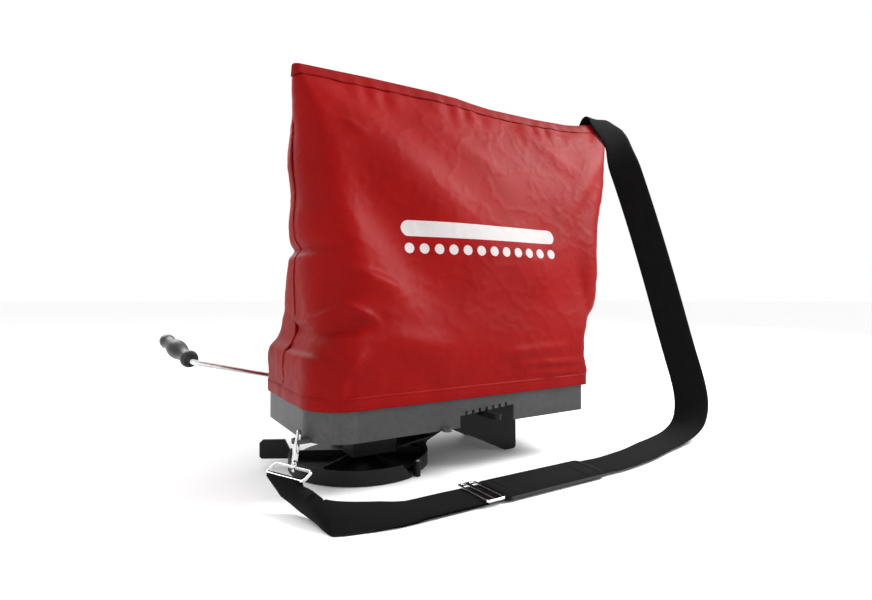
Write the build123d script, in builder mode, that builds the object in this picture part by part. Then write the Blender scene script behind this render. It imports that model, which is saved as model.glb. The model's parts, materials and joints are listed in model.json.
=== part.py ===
from build123d import *
import math
import os

os.makedirs("parts", exist_ok=True)

# Shoulder-worn salt spreader. Origin on the impeller's upright axis at floor level, +X along the tray
# away from the impeller, +Y towards the crank, +Z up. Millimetres.

# ---- Driving dimensions ----
TRAY_X0, TRAY_X1 = -100.0, 300.0  # ends of the tray
TRAY_HALF = 115.0  # half the tray's depth
NOSE_R, TAIL_R = 50.0, 8.0  # plan corner radii at the impeller end and at the far end
WALL = 3.0
SKIRT_Z = 60.0  # lower edge of the skirt
HEM_Z = 96.0  # where the fabric begins
HEM_TALL = 15.0
RIM_Z = 150.0  # top of the rim, inside the bag
FABRIC = 1.2

SLOPE = 4.1  # degrees that the hopper floor climbs towards the far end
FLOOR_Z = 112.0  # underside of the hopper floor above the origin
FLOOR_T = 3.0
GATE_GAP, GATE_T = 0.5, 2.0  # play above the gate plate, and its thickness
NOTCH_DROP = 43.4  # from the floor's underside to the notched edge
NOTCHES, NOTCH_PITCH, NOTCH_SIZE = 7, 10.5, 4.0
WINDOW_X0, WINDOW_X1 = 84.0, 169.0
LEVER_X = 124.7  # the lever stands at the middle notch
LEVER_W, LEVER_H, LEVER_TIP_Y = 8.7, 7.4, -141.0
PORT_X0, PORT_X1, PORT_Y0, PORT_Y1 = -26.0, 30.0, -41.0, -14.0  # outlet in the hopper floor

SHAFT_Z = 86.0  # height of the crank's shaft
ROD_R = 4.0
CRANK_Y = 147.0  # plane of the crank's arm
ARM_END = (-185.0, CRANK_Y, 131.0)  # bend between the arm and the grip's spindle
SPINDLE_DIR = (-0.24, 0.94, 0.235)
GRIP_LONG = 100.0

MODULE = 0.9
PINION_TEETH, CROWN_TEETH = 10, 36
PINION_R = MODULE * PINION_TEETH / 2
TOOTH_SHARE = 0.34  # tooth thickness over pitch; the rest is backlash
POST_R = 3.0  # upright shaft
RUNNING = 0.05  # radial clearance of a shaft in its bushing

DISC_R = 84.0
GUARD_R = 90.5  # outside of the fixed guard's rim
BAFFLE_R = 93.0
GUARD_TOP = 19.0
BAFFLE_FROM, BAFFLE_TO, BAFFLE_FLAT_TO = 146.0, 290.0, 280.0  # degrees about the upright shaft
PADDLE_AT, PADDLE_OUT = 151.0, 132.0
GUARD_FROM, GUARD_TO = -64.0, 30.0
FOOT_AT = -65.0

LEG_Y, LEG_T = 50.0, 5.0
LEG_X1 = 225.0

STRAP_W, STRAP_T = 50.0, 2.4
PAD_X0, PAD_X1, PAD_W, PAD_H = 77.0, 237.0, 56.0, 9.0
STRAP_Z, STRAP_Y = 4.6, -186.0  # centre of the webbing where it lies flat
ADJUSTER_AT = (63.0, STRAP_Y)
COVER_Z = 25.0  # underside of the impeller's cover at its inner end

# ---- Frames of reference ----
sin_slope, cos_slope = math.sin(math.radians(SLOPE)), math.cos(math.radians(SLOPE))


def slope(offset=0.0):
    """A plane parallel to the hopper floor, offset up from the floor's underside."""
    plane = Plane(origin=(0, 0, FLOOR_Z), x_dir=(cos_slope, 0, sin_slope), z_dir=(-sin_slope, 0, cos_slope))
    return plane.offset(offset)


def tray_outline(inset=0.0):
    """The tray's plan outline, rounder at the impeller end."""
    with BuildSketch(mode=Mode.PRIVATE) as outline:
        with Locations(((TRAY_X0 + TRAY_X1) / 2, 0)):
            Rectangle(TRAY_X1 - TRAY_X0 - 2 * inset, 2 * (TRAY_HALF - inset))
        fillet(outline.vertices().group_by(Axis.X)[0], NOSE_R - inset)
        fillet(outline.vertices().group_by(Axis.X)[-1], TAIL_R - inset)
    return outline.sketch


def plan_box(x0, x1, y0, y1):
    """A rectangle between the given limits, in the current sketch."""
    with Locations(((x0 + x1) / 2, (y0 + y1) / 2)):
        return Rectangle(x1 - x0, y1 - y0)


def between(low, high):
    """Keep what lies between two offsets of the sloping floor."""
    split(bisect_by=slope(low), keep=Keep.TOP)
    split(bisect_by=slope(high), keep=Keep.BOTTOM)


def sector(radius, start, end):
    """A pie slice about the origin, in the current sketch."""
    with BuildLine(mode=Mode.PRIVATE) as edge:
        CenterArc((0, 0), radius, start, end - start)
        Line(edge.line @ 1, (0, 0))
        Line((0, 0), edge.line @ 0)
    return make_face(edge.edges())


def save(part, name):
    """Label a finished piece and write it."""
    part.label = name
    export_step(part, f"parts/{name}.step")


# ---- Tray ----
floor_post_places = [(-70, 85), (-70, -85), (270, 85), (270, -85)]
window_z0 = FLOOR_Z - NOTCH_DROP + WINDOW_X0 * sin_slope
window_z1 = FLOOR_Z - NOTCH_DROP + WINDOW_X1 * sin_slope
LUG_AT, LUG_R, LUG_HOLE_R, LUG_T = (-106.0, -76.0), 9.0, 4.0, 4.0
EYELET_AT, EYELET_R, EYELET_HOLE_R = (61.0, -121.0), 5.5, 2.5

with BuildPart() as tray_frame:
    with BuildSketch(Plane.XY.offset(SKIRT_Z)):
        add(tray_outline())
        add(tray_outline(WALL), mode=Mode.SUBTRACT)
    extrude(amount=RIM_Z - SKIRT_Z)
    # Lugs on the lower edge
    with BuildSketch(Plane.XY.offset(SKIRT_Z)):
        with Locations(LUG_AT):
            Circle(LUG_R)
        plan_box(LUG_AT[0], LUG_AT[0] + 9, LUG_AT[1] - LUG_R, LUG_AT[1] + LUG_R)
        with Locations(LUG_AT):
            Circle(LUG_HOLE_R, mode=Mode.SUBTRACT)
    extrude(amount=LUG_T)
    with BuildSketch(Plane.XY.offset(SKIRT_Z)):
        with Locations(EYELET_AT):
            Circle(EYELET_R)
        plan_box(EYELET_AT[0] - EYELET_R, EYELET_AT[0] + EYELET_R, EYELET_AT[1], -TRAY_HALF + 1)
        with Locations(EYELET_AT):
            Circle(EYELET_HOLE_R, mode=Mode.SUBTRACT)
    extrude(amount=LUG_T)
    # Posts that carry the hopper floor
    for x, y in floor_post_places:
        reach = math.copysign(TRAY_HALF - (7 if x < TRAY_X0 + NOSE_R else 1), y)
        with BuildSketch(Plane.XY.offset(SKIRT_Z)):
            with Locations((x, y)):
                Circle(6)
            plan_box(x - 2, x + 2, min(y, reach), max(y, reach))
            with Locations((x, y)):
                Circle(1.6, mode=Mode.SUBTRACT)
        extrude(amount=FLOOR_Z + (x - 6) * sin_slope / cos_slope - SKIRT_Z)
    # Notched window for the gate lever
    with BuildSketch(Plane.XZ.offset(TRAY_HALF + 1)):
        with BuildLine():
            Polyline(
                (WINDOW_X0, SKIRT_Z - 1),
                (WINDOW_X1, SKIRT_Z - 1),
                (WINDOW_X1, window_z1),
                (WINDOW_X0, window_z0),
                close=True,
            )
        make_face()
        for i in range(NOTCHES):
            notch_x = LEVER_X + (i - NOTCHES // 2) * NOTCH_PITCH
            notch_z = FLOOR_Z - NOTCH_DROP + notch_x * sin_slope
            with Locations((notch_x, notch_z + NOTCH_SIZE / 2)):
                Rectangle(NOTCH_SIZE, NOTCH_SIZE + 1)
    extrude(amount=-(WALL + 2), mode=Mode.SUBTRACT)
    # Bearing hole for the crank's shaft
    with BuildSketch(Plane.XZ.offset(-(TRAY_HALF + 1))):
        with Locations((0, SHAFT_Z)):
            Circle(7)
    extrude(amount=WALL + 2, mode=Mode.SUBTRACT)
save(tray_frame.part, "tray_frame")

# ---- Hopper floor with the gate's rails ----
leg_screw_places = [(x, side * (LEG_Y + out)) for x in (190, 212) for side in (-1, 1) for out in (-7.5, 7.5)]
housing_screw_places = [(x, y) for x in (-27.5, 27.5) for y in (0.0, 20.0)]
RAIL_NEAR_Y, RAIL_FAR_Y = -46.0, -10.8
GATE_Y0, GATE_Y1 = -45.6, -11.2

with BuildPart() as hopper_floor:
    with BuildSketch(Plane.XY.offset(SKIRT_Z)):
        add(tray_outline(WALL + 0.3))
    extrude(amount=RIM_Z - SKIRT_Z)
    between(0, FLOOR_T)
    with BuildSketch(Plane.XY.offset(SKIRT_Z)):
        plan_box(PORT_X0, PORT_X1, PORT_Y0, PORT_Y1)
        Circle(6)
        with Locations(*housing_screw_places, *leg_screw_places, *floor_post_places):
            Circle(1.7)
    extrude(amount=RIM_Z - SKIRT_Z, mode=Mode.SUBTRACT)


def rail(y_web0, y_web1, y_lip0, y_lip1, x1):
    """One L-shaped rail that the gate plate slides in."""
    drop = GATE_GAP * 2 + GATE_T
    with BuildPart() as web:
        with BuildSketch(Plane.XY.offset(SKIRT_Z)):
            plan_box(-32, x1, y_web0, y_web1)
        extrude(amount=RIM_Z - SKIRT_Z)
        between(-drop - 1.6, 0.5)
    with BuildPart() as lip:
        with BuildSketch(Plane.XY.offset(SKIRT_Z)):
            plan_box(-32, x1, y_lip0, y_lip1)
        extrude(amount=RIM_Z - SKIRT_Z)
        between(-drop - 1.6, -drop)
    return web.part + lip.part


with BuildPart() as floor_with_rails:
    add(hopper_floor.part)
    add(rail(RAIL_NEAR_Y - 1.6, RAIL_NEAR_Y, RAIL_NEAR_Y - 0.5, RAIL_NEAR_Y + 3, 78))
    add(rail(RAIL_FAR_Y, RAIL_FAR_Y + 1.5, RAIL_FAR_Y - 3, RAIL_FAR_Y + 0.5, 110))
save(floor_with_rails.part, "hopper_floor")

with BuildPart() as floor_screws:
    for x, y in floor_post_places:
        top = FLOOR_Z + x * sin_slope / cos_slope + FLOOR_T + 0.6
        with Locations((x, y, top)):
            Cylinder(3.2, 2.2, align=(Align.CENTER, Align.CENTER, Align.MIN))
        with Locations((x, y, top)):
            Cylinder(1.5, 18, align=(Align.CENTER, Align.CENTER, Align.MAX))
save(floor_screws.part, "floor_screws")

# ---- Ring that holds the fabric inside the rim ----
RETAINER_Z = 139.0
retainer_places = [(x, side) for x in (-20, 100, 220) for side in (-1, 1)]
with BuildPart() as retainer_ring:
    with BuildSketch(Plane.XY.offset(RETAINER_Z)):
        add(tray_outline(WALL + 0.2))
        add(tray_outline(WALL + 2.8), mode=Mode.SUBTRACT)
    extrude(amount=RIM_Z - RETAINER_Z)
    for x, side in retainer_places:
        with BuildSketch(Plane.XZ.offset(-side * (TRAY_HALF - WALL))):
            with Locations((x, (RETAINER_Z + RIM_Z) / 2)):
                Circle(1.5)
        extrude(amount=side * 8, mode=Mode.SUBTRACT)
save(retainer_ring.part, "retainer_ring")

with BuildPart() as retainer_screws:
    for x, side in retainer_places:
        inner = side * (TRAY_HALF - WALL - 2.8)
        place = Plane(origin=(x, inner, (RETAINER_Z + RIM_Z) / 2), z_dir=(0, -side, 0))
        with BuildSketch(place):
            Circle(2.8)
        extrude(amount=1.6)
        with BuildSketch(place):
            Circle(1.45)
        extrude(amount=-2.6)
save(retainer_screws.part, "retainer_screws")

# ---- Bag: two fabric panels between the tray and the top seam ----
BAG_TILT = 1.75  # degrees that the top seam climbs to the right


def bag_plane(x0, x1, y, z, tilt):
    """The plane of one cross-section of the bag."""
    turn = math.radians(tilt)
    x_dir, z_dir = (math.cos(turn), 0, math.sin(turn)), (-math.sin(turn), 0, math.cos(turn))
    return Plane(origin=((x0 + x1) / 2, y, z), x_dir=x_dir, z_dir=z_dir)


# left end, right end, half depth, middle y, height, tilt, left and right corner radius
bag_sections = [
    (-102.0, 302.0, 117.0, 0.0, HEM_Z + HEM_TALL, 0.0, 51.0, 9.0),
    (-102.0, 318.0, 117.0, 0.0, RIM_Z, 0.0, 51.0, 20.0),
    (-100.0, 376.0, 97.0, -5.0, 222.0, 0.0, 70.0, 56.0),
    (-99.0, 400.0, 80.0, -9.0, 300.0, 0.5, 70.0, 62.0),
    (-98.0, 430.0, 53.0, -13.0, 400.0, 1.0, 48.0, 48.0),
    (-97.0, 446.0, 27.0, -16.0, 465.0, BAG_TILT, 24.0, 24.0),
    (-96.0, 459.0, 4.0, -18.0, 511.0, BAG_TILT, 3.5, 3.5),
]


def bag_form(inset, drop):
    """The bag's solid form, drawn in by an inset and ended below the top seam by drop."""
    with BuildPart() as form:
        for i, (x0, x1, half, y, z, tilt, r0, r1) in enumerate(bag_sections):
            top, bottom = i == len(bag_sections) - 1, i == 0
            height = z - drop * top - 0.5 * bottom * (inset > 0)
            with BuildSketch(bag_plane(x0, x1, y, height, tilt)) as section:
                Rectangle(x1 - x0 - 2 * inset, 2 * (half - inset))
                fillet(section.vertices().group_by(Axis.X)[0], max(r0 - inset, 1))
                fillet(section.vertices().group_by(Axis.X)[-1], max(r1 - inset, 1))
        loft(ruled=True)
    return form.part


seam_plane = Plane(origin=(0, 0, HEM_Z), x_dir=(1, 0, 0), z_dir=(0, 1, 18 / (511 - HEM_Z)))
for name, keep in (("bag_front_panel", Keep.BOTTOM), ("bag_back_panel", Keep.TOP)):
    with BuildPart() as panel:
        add(bag_form(0, 0))
        add(bag_form(FABRIC, 2.5), mode=Mode.SUBTRACT)
        split(bisect_by=seam_plane, keep=keep)
    save(panel.part, name)

with BuildPart() as bag_bottom_hem:
    with BuildSketch(Plane.XY.offset(HEM_Z)):
        add(tray_outline(-2.2))
        add(tray_outline(-0.4), mode=Mode.SUBTRACT)
    extrude(amount=HEM_TALL)
save(bag_bottom_hem.part, "bag_bottom_hem")

top_x0, top_x1, _, top_y, top_z, _, _, _ = bag_sections[-1]
top_plane = bag_plane(top_x0, top_x1, top_y, top_z, BAG_TILT)
with BuildPart() as bag_top_hem:
    with BuildSketch(top_plane):
        RectangleRounded(top_x1 - top_x0, 8, 3.5)
    extrude(amount=5)
    fillet(bag_top_hem.faces().sort_by(Axis.Z)[-1].edges(), 1.2)
save(bag_top_hem.part, "bag_top_hem")

# ---- Zipper on the back panel, on the flat face between the two highest cross-sections ----
low_half, low_y, low_z = bag_sections[-2][2], bag_sections[-2][3], bag_sections[-2][4]
low_x = (bag_sections[-2][0] + bag_sections[-2][1]) / 2
high_x = (top_x0 + top_x1) / 2
low_edge = Vector(low_x, low_y + low_half, low_z)
high_edge = Vector(high_x, top_y + 4, top_z)
along = Vector(math.cos(math.radians(BAG_TILT)), 0, math.sin(math.radians(BAG_TILT)))
up_face = high_edge - low_edge
up_face = (up_face - along * up_face.dot(along)).normalized()
outward = up_face.cross(along) * -1 if up_face.cross(along).Y < 0 else up_face.cross(along)
ZIP_LONG, ZIP_WIDE, TAPE_T, COIL_W, COIL_T = 420.0, 26.0, 1.0, 5.0, 1.5
zip_mid = low_edge + (high_edge - low_edge) * 0.5 + outward * 0.3
zip_plane = Plane(origin=zip_mid, x_dir=along, z_dir=outward)

with BuildPart() as zipper_tape:
    with BuildSketch(zip_plane):
        Rectangle(ZIP_LONG, ZIP_WIDE)
    extrude(amount=TAPE_T)
    with BuildSketch(zip_plane.offset(TAPE_T)):
        Rectangle(ZIP_LONG - 10, COIL_W)
    extrude(amount=COIL_T)
save(zipper_tape.part, "zipper_tape")

SLIDER_AT = -ZIP_LONG / 2 + 22
with BuildPart() as zipper_slider:
    with BuildSketch(zip_plane.offset(TAPE_T + 0.3)):
        with Locations((SLIDER_AT, 0)):
            RectangleRounded(14, 11, 2.5)
    extrude(amount=4.4)
    with BuildSketch(zip_plane.offset(TAPE_T + 0.3)):
        with Locations((SLIDER_AT, 0)):
            Rectangle(20, COIL_W + 0.8)
    extrude(amount=COIL_T + 0.1, mode=Mode.SUBTRACT)
    # Ears that carry the pull
    with BuildSketch(zip_plane.offset(TAPE_T + 4.7)):
        with Locations((SLIDER_AT, 2.9), (SLIDER_AT, -2.9)):
            Rectangle(5, 1.4)
    extrude(amount=3.6)
    ear_at = zip_plane.from_local_coords(Vector(SLIDER_AT, 6, TAPE_T + 6.5))
    ear_plane = Plane(origin=ear_at, z_dir=zip_plane.y_dir)
    with BuildSketch(ear_plane):
        Circle(0.8)
    extrude(amount=-12, mode=Mode.SUBTRACT)
save(zipper_slider.part, "zipper_slider")

PULL_END, PULL_TAIL = 24.0, 1.3  # the pull's reach in front of its pin and behind it
with BuildPart() as zipper_pull:
    with BuildSketch(zip_plane.offset(TAPE_T + 5.6)):
        with Locations((SLIDER_AT + (PULL_END - PULL_TAIL) / 2, 0)):
            RectangleRounded(PULL_END + PULL_TAIL, 4, 1.2)
        with Locations((SLIDER_AT + 20, 0)):
            Rectangle(5, 1.6, mode=Mode.SUBTRACT)
    extrude(amount=1.8)
    pin_at = zip_plane.from_local_coords(Vector(SLIDER_AT, 3.4, TAPE_T + 6.5))
    with BuildSketch(Plane(origin=pin_at, z_dir=zip_plane.y_dir)):
        Circle(0.72)
    extrude(amount=-6.8)
save(zipper_pull.part, "zipper_pull")

# ---- Legs ----
slope_tan = sin_slope / cos_slope
for name, side in (("leg_near", -1), ("leg_far", 1)):
    with BuildPart() as leg:
        with BuildSketch(Plane.XZ.offset(-side * LEG_Y - LEG_T / 2)):
            with BuildLine():
                Polyline(
                    (60, 67.4),
                    (60, 108),
                    (178, 108),
                    (178, RIM_Z),
                    (LEG_X1, RIM_Z),
                    (LEG_X1, 0),
                    (205, 0),
                    close=True,
                )
            make_face()
        extrude(amount=LEG_T)
        foot = leg.edges().filter_by(Axis.Y).sort_by(Axis.Z)[:2].sort_by(Axis.X)[-1]
        fillet(foot, 5)
        split(bisect_by=slope(-0.1), keep=Keep.BOTTOM)
        with BuildPart(mode=Mode.PRIVATE) as flange:
            with BuildSketch(Plane.XY.offset(SKIRT_Z)):
                plan_box(180, LEG_X1, side * LEG_Y - 12, side * LEG_Y + 12)
                with Locations(*[p for p in leg_screw_places if p[1] * side > 0]):
                    Circle(1.7, mode=Mode.SUBTRACT)
            extrude(amount=RIM_Z - SKIRT_Z)
            between(-4, -0.1)
        add(flange.part)
    save(leg.part, name)

with BuildPart() as leg_screws:
    for x, y in leg_screw_places:
        head = FLOOR_Z + x * slope_tan - 4.8
        with Locations((x, y, head)):
            Cylinder(3.0, 1.8, align=(Align.CENTER, Align.CENTER, Align.MAX))
        with Locations((x, y, head)):
            Cylinder(1.6, 9, align=(Align.CENTER, Align.CENTER, Align.MIN))
save(leg_screws.part, "leg_screws")

# ---- Gate ----
GATE_X0, GATE_X1 = 2.0, 140.0
ARM_Y = -108.0
rivet_places = [(LEVER_X, -84.0), (LEVER_X, -94.0)]
gate_top = -GATE_GAP
gate_bottom = gate_top - GATE_T
with BuildPart() as gate_plate:
    with BuildSketch(Plane.XY.offset(SKIRT_Z)):
        plan_box(GATE_X0, GATE_X1, GATE_Y0, GATE_Y1)
        plan_box(LEVER_X - 12, LEVER_X + 12, ARM_Y, GATE_Y0 + 1)
        with Locations(*rivet_places):
            Circle(1.6, mode=Mode.SUBTRACT)
    extrude(amount=RIM_Z - SKIRT_Z)
    between(gate_bottom, gate_top)
save(gate_plate.part, "gate_plate")

bar_top = -NOTCH_DROP - 0.4
bar_bottom = bar_top - LEVER_H


def lever_piece(y0, y1, low, high, rounded=False):
    """One block of the gate lever, parallel to the sloping floor."""
    with BuildPart() as block:
        with BuildSketch(Plane.XY.offset(SKIRT_Z - 10)) as plan:
            plan_box(LEVER_X - LEVER_W / 2, LEVER_X + LEVER_W / 2, y0, y1)
            if rounded:
                fillet(plan.vertices().group_by(Axis.Y)[0], 3.6)
        extrude(amount=RIM_Z - SKIRT_Z)
        between(low, high)
    return block.part


with BuildPart() as gate_lever:
    add(lever_piece(LEVER_TIP_Y, -100, bar_bottom, bar_top, rounded=True))
    add(lever_piece(ARM_Y, -100, bar_bottom, gate_bottom))
    add(lever_piece(ARM_Y, -78, gate_bottom - 2, gate_bottom))
    with BuildSketch(Plane.XY.offset(FLOOR_Z - 10)):
        with Locations(*rivet_places):
            Circle(1.6)
    extrude(amount=20, mode=Mode.SUBTRACT)
save(gate_lever.part, "gate_lever")

with BuildPart() as gate_rivets:
    for x, y in rivet_places:
        head = FLOOR_Z + x * slope_tan + gate_bottom - 2 - 0.4
        with Locations((x, y, head)):
            Cylinder(2.8, 1.4, align=(Align.CENTER, Align.CENTER, Align.MAX))
        with Locations((x, y, head)):
            Cylinder(1.55, 4.0, align=(Align.CENTER, Align.CENTER, Align.MIN))
save(gate_rivets.part, "gate_rivets")

# ---- Drop chute between the gate and the impeller ----
CHUTE = (-28.0, 32.0, -43.0, -9.3)
CHUTE_T = 2.0
with BuildPart() as drop_chute:
    with BuildSketch(Plane.XY.offset(22)):
        plan_box(*CHUTE)
    extrude(amount=RIM_Z - 22)
    with BuildSketch(Plane.XY.offset(21)):
        plan_box(CHUTE[0] + CHUTE_T, CHUTE[1] - CHUTE_T, CHUTE[2] + CHUTE_T, CHUTE[3] - CHUTE_T)
    extrude(amount=RIM_Z, mode=Mode.SUBTRACT)
    split(bisect_by=slope(-5.8), keep=Keep.BOTTOM)
save(drop_chute.part, "drop_chute")

# ---- Gear housing in two halves, split at the crank's shaft ----
HOUSE_X, HOUSE_Y0, HOUSE_Y1 = 23.0, -9.0, 26.5
HOUSE_Z0, HOUSE_Z1, HOUSE_T = 62.0, 109.5, 2.5


def house_outline(inset=0.0):
    """Plan outline of the housing's box."""
    return plan_box(-HOUSE_X + inset, HOUSE_X - inset, HOUSE_Y0 + inset, HOUSE_Y1 - inset)


def ears():
    """Screw ears beside the housing's box."""
    for x, y in housing_screw_places:
        with Locations((x, y)):
            Circle(4.4)
        plan_box(min(x, math.copysign(HOUSE_X - 1, x)), max(x, math.copysign(HOUSE_X - 1, x)), y - 4, y + 4)


def shaft_hole(radius):
    """Cut the crank bushing's hole through the housing's back wall."""
    with BuildSketch(Plane.XZ.offset(-(HOUSE_Y1 - HOUSE_T - 1))) as hole:
        with Locations((0, SHAFT_Z)):
            Circle(radius)
    extrude(hole.sketch, amount=-10, mode=Mode.SUBTRACT)


with BuildPart() as gear_housing_lower:
    with BuildSketch(Plane.XY.offset(HOUSE_Z0)):
        house_outline()
    extrude(amount=SHAFT_Z - HOUSE_Z0)
    with BuildSketch(Plane.XY.offset(SHAFT_Z - 6)):
        ears()
    extrude(amount=6)
    with BuildSketch(Plane.XY.offset(54)):
        Circle(8.9)
    extrude(amount=HOUSE_Z0 - 54)
    with BuildSketch(Plane.XY.offset(HOUSE_Z0 + HOUSE_T)):
        house_outline(2.0)
    extrude(amount=SHAFT_Z, mode=Mode.SUBTRACT)
    with BuildSketch(Plane.XY.offset(50)):
        Circle(6)
        with Locations(*housing_screw_places):
            Circle(1.7)
    extrude(amount=60, mode=Mode.SUBTRACT)
    shaft_hole(6.5)
save(gear_housing_lower.part, "gear_housing_lower")

with BuildPart() as gear_housing_upper:
    with BuildSketch(Plane.XY.offset(SHAFT_Z)):
        house_outline()
        ears()
    extrude(amount=HOUSE_Z1 - SHAFT_Z)
    with BuildSketch(Plane.XY.offset(SHAFT_Z)):
        house_outline(2.0)
    extrude(amount=HOUSE_Z1 - HOUSE_T - SHAFT_Z, mode=Mode.SUBTRACT)
    with BuildSketch(Plane.XY.offset(SHAFT_Z)):
        Circle(6)
        with Locations(*housing_screw_places):
            Circle(1.7)
    extrude(amount=30, mode=Mode.SUBTRACT)
    shaft_hole(6.5)
    split(bisect_by=slope(-0.1), keep=Keep.BOTTOM)
save(gear_housing_upper.part, "gear_housing_upper")

with BuildPart() as housing_screws:
    for x, y in housing_screw_places:
        with Locations((x, y, SHAFT_Z - 6.1)):
            Cylinder(3.2, 2.4, align=(Align.CENTER, Align.CENTER, Align.MAX))
        with Locations((x, y, SHAFT_Z - 6.1)):
            Cylinder(1.6, 34, align=(Align.CENTER, Align.CENTER, Align.MIN))
save(housing_screws.part, "housing_screws")

# ---- Bushings: a flanged sleeve each ----


def bushing(name, plane, bore, outer, flange, flange_t, long):
    """A flanged bushing whose flange starts at the plane and whose sleeve runs on from it."""
    with BuildPart() as sleeve:
        with BuildSketch(plane):
            Circle(flange)
        extrude(amount=flange_t)
        with BuildSketch(plane.offset(flange_t)):
            Circle(outer)
        extrude(amount=long)
        with BuildSketch(plane):
            Circle(bore)
        extrude(amount=flange_t + long, mode=Mode.SUBTRACT)
    save(sleeve.part, name)


down, backwards = (0, 0, -1), (0, 1, 0)
bushing("shaft_bushing_lower", Plane(origin=(0, 0, 66), z_dir=down), POST_R + RUNNING, 5.95, 6.8, 1.4, 10.5)
bushing("shaft_bushing_upper", Plane(origin=(0, 0, 119), z_dir=down), POST_R + RUNNING, 5.95, 8.5, 2.0, 9.5)
bushing("crank_bushing_front", Plane(origin=(0, 22.7, SHAFT_Z), z_dir=backwards), ROD_R + RUNNING, 6.45, 8, 1.6, 6.5)
bushing("crank_bushing_rear", Plane(origin=(0, 118, SHAFT_Z), z_dir=(0, -1, 0)), ROD_R + RUNNING, 6.95, 10, 2.6, 6.0)

# ---- Crown gear on the crank's shaft, and the pinion on the upright shaft ----
pitch = math.pi * MODULE
ADDENDUM, DEDENDUM = 0.75, 1.05
CROWN_IN, CROWN_OUT = 13.8, 18.6
crown_face = PINION_R + DEDENDUM  # y of the crown gear's face between its teeth

with BuildPart() as crown_gear:
    with BuildSketch(Plane.XZ.offset(-crown_face)):
        with Locations((0, SHAFT_Z)):
            Circle(CROWN_OUT)
    extrude(amount=-5)
    with BuildSketch(Plane.XZ.offset(-(crown_face + 5))):
        with Locations((0, SHAFT_Z)):
            Circle(8)
    extrude(amount=-(22.2 - crown_face - 5))
    with BuildSketch(Plane.XZ.offset(0)):
        with Locations((0, SHAFT_Z)):
            Circle(ROD_R)
    extrude(amount=-30, mode=Mode.SUBTRACT)
    # The tooth space, not a tooth, faces the pinion's lowest point of mesh
    root_w, tip_w = pitch * TOOTH_SHARE * 1.25, pitch * TOOTH_SHARE * 0.62
    with BuildSketch(Plane.XY.offset(SHAFT_Z + CROWN_IN)):
        with BuildLine():
            Polyline(
                (-root_w / 2, crown_face + 0.2),
                (-tip_w / 2, PINION_R - ADDENDUM),
                (tip_w / 2, PINION_R - ADDENDUM),
                (root_w / 2, crown_face + 0.2),
                close=True,
            )
        make_face()
    tooth = extrude(amount=CROWN_OUT - CROWN_IN, mode=Mode.PRIVATE)
    crown_axis = Axis((0, 0, SHAFT_Z), (0, 1, 0))
    for i in range(CROWN_TEETH):
        add(tooth.rotate(crown_axis, (i + 0.5) * 360 / CROWN_TEETH))
    # Cross hole for the drive pin
    with BuildSketch(Plane.XY.offset(SHAFT_Z - 10)):
        with Locations((0, 17)):
            Circle(1.25)
    extrude(amount=20, mode=Mode.SUBTRACT)
save(crown_gear.part, "crown_gear")

with BuildPart() as crown_gear_pin:
    with Locations((0, 17, SHAFT_Z)):
        Cylinder(1.2, 15.6)
save(crown_gear_pin.part, "crown_gear_pin")

with BuildPart() as pinion_gear:
    with BuildSketch(Plane.XY.offset(66.6)):
        Circle(PINION_R - DEDENDUM)
        for i in range(PINION_TEETH):
            # one tooth points along +Y, at the crown gear
            with Locations(Rotation(0, 0, i * 360 / PINION_TEETH)):
                with BuildLine():
                    Polyline(
                        (-pitch * TOOTH_SHARE * 0.62, PINION_R - DEDENDUM - 0.4),
                        (-pitch * TOOTH_SHARE * 0.28, PINION_R + ADDENDUM),
                        (pitch * TOOTH_SHARE * 0.28, PINION_R + ADDENDUM),
                        (pitch * TOOTH_SHARE * 0.62, PINION_R - DEDENDUM - 0.4),
                        close=True,
                    )
                make_face()
        Circle(POST_R, mode=Mode.SUBTRACT)
    extrude(amount=7.4)
save(pinion_gear.part, "pinion_gear")

with BuildPart() as impeller_shaft:
    with Locations((0, 0, 7.4)):
        Cylinder(POST_R, 138 - 7.4, align=(Align.CENTER, Align.CENTER, Align.MIN))
    chamfer(impeller_shaft.edges().group_by(Axis.Z)[-1], 0.6)
save(impeller_shaft.part, "impeller_shaft")

with BuildPart() as shaft_seal:
    with BuildSketch(Plane.XY.offset(119.1)):
        Circle(8)
        Circle(POST_R + RUNNING, mode=Mode.SUBTRACT)
    extrude(amount=1.8)
save(shaft_seal.part, "shaft_seal")

with BuildPart() as agitator:
    with BuildSketch(Plane.XY.offset(122)):
        Circle(7)
        Circle(POST_R, mode=Mode.SUBTRACT)
    extrude(amount=14)
    for turn in (0, 180):
        lean = Vector(math.cos(math.radians(turn)), math.sin(math.radians(turn)), 0)
        with BuildLine():
            arm_path = Line(lean * 5 + Vector(0, 0, 129), lean * 30 + Vector(0, 0, 136))
        with BuildSketch(Plane(origin=arm_path @ 0, z_dir=arm_path % 0)):
            Circle(2.5)
        sweep(path=arm_path)
save(agitator.part, "agitator")

# ---- Impeller ----
VANES, VANE_T = 6, 2.0
IMPELLER_Z0, IMPELLER_Z1, VANE_TOP = 9.0, 11.5, 20.0
with BuildPart() as impeller_disc:
    with BuildSketch(Plane.XY.offset(IMPELLER_Z0)):
        Circle(DISC_R)
    extrude(amount=IMPELLER_Z1 - IMPELLER_Z0)
    with BuildSketch(Plane.XY.offset(IMPELLER_Z0)):
        Circle(9)
        with PolarLocations(0, VANES, start_angle=-27):
            with Locations(((9 + DISC_R - 1.5) / 2 - 2, 4)):
                Rectangle(DISC_R - 6, VANE_T)
    extrude(amount=VANE_TOP - IMPELLER_Z0)
    with BuildSketch(Plane.XY.offset(IMPELLER_Z0)):
        Circle(POST_R)
    extrude(amount=30, mode=Mode.SUBTRACT)
save(impeller_disc.part, "impeller_disc")

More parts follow.
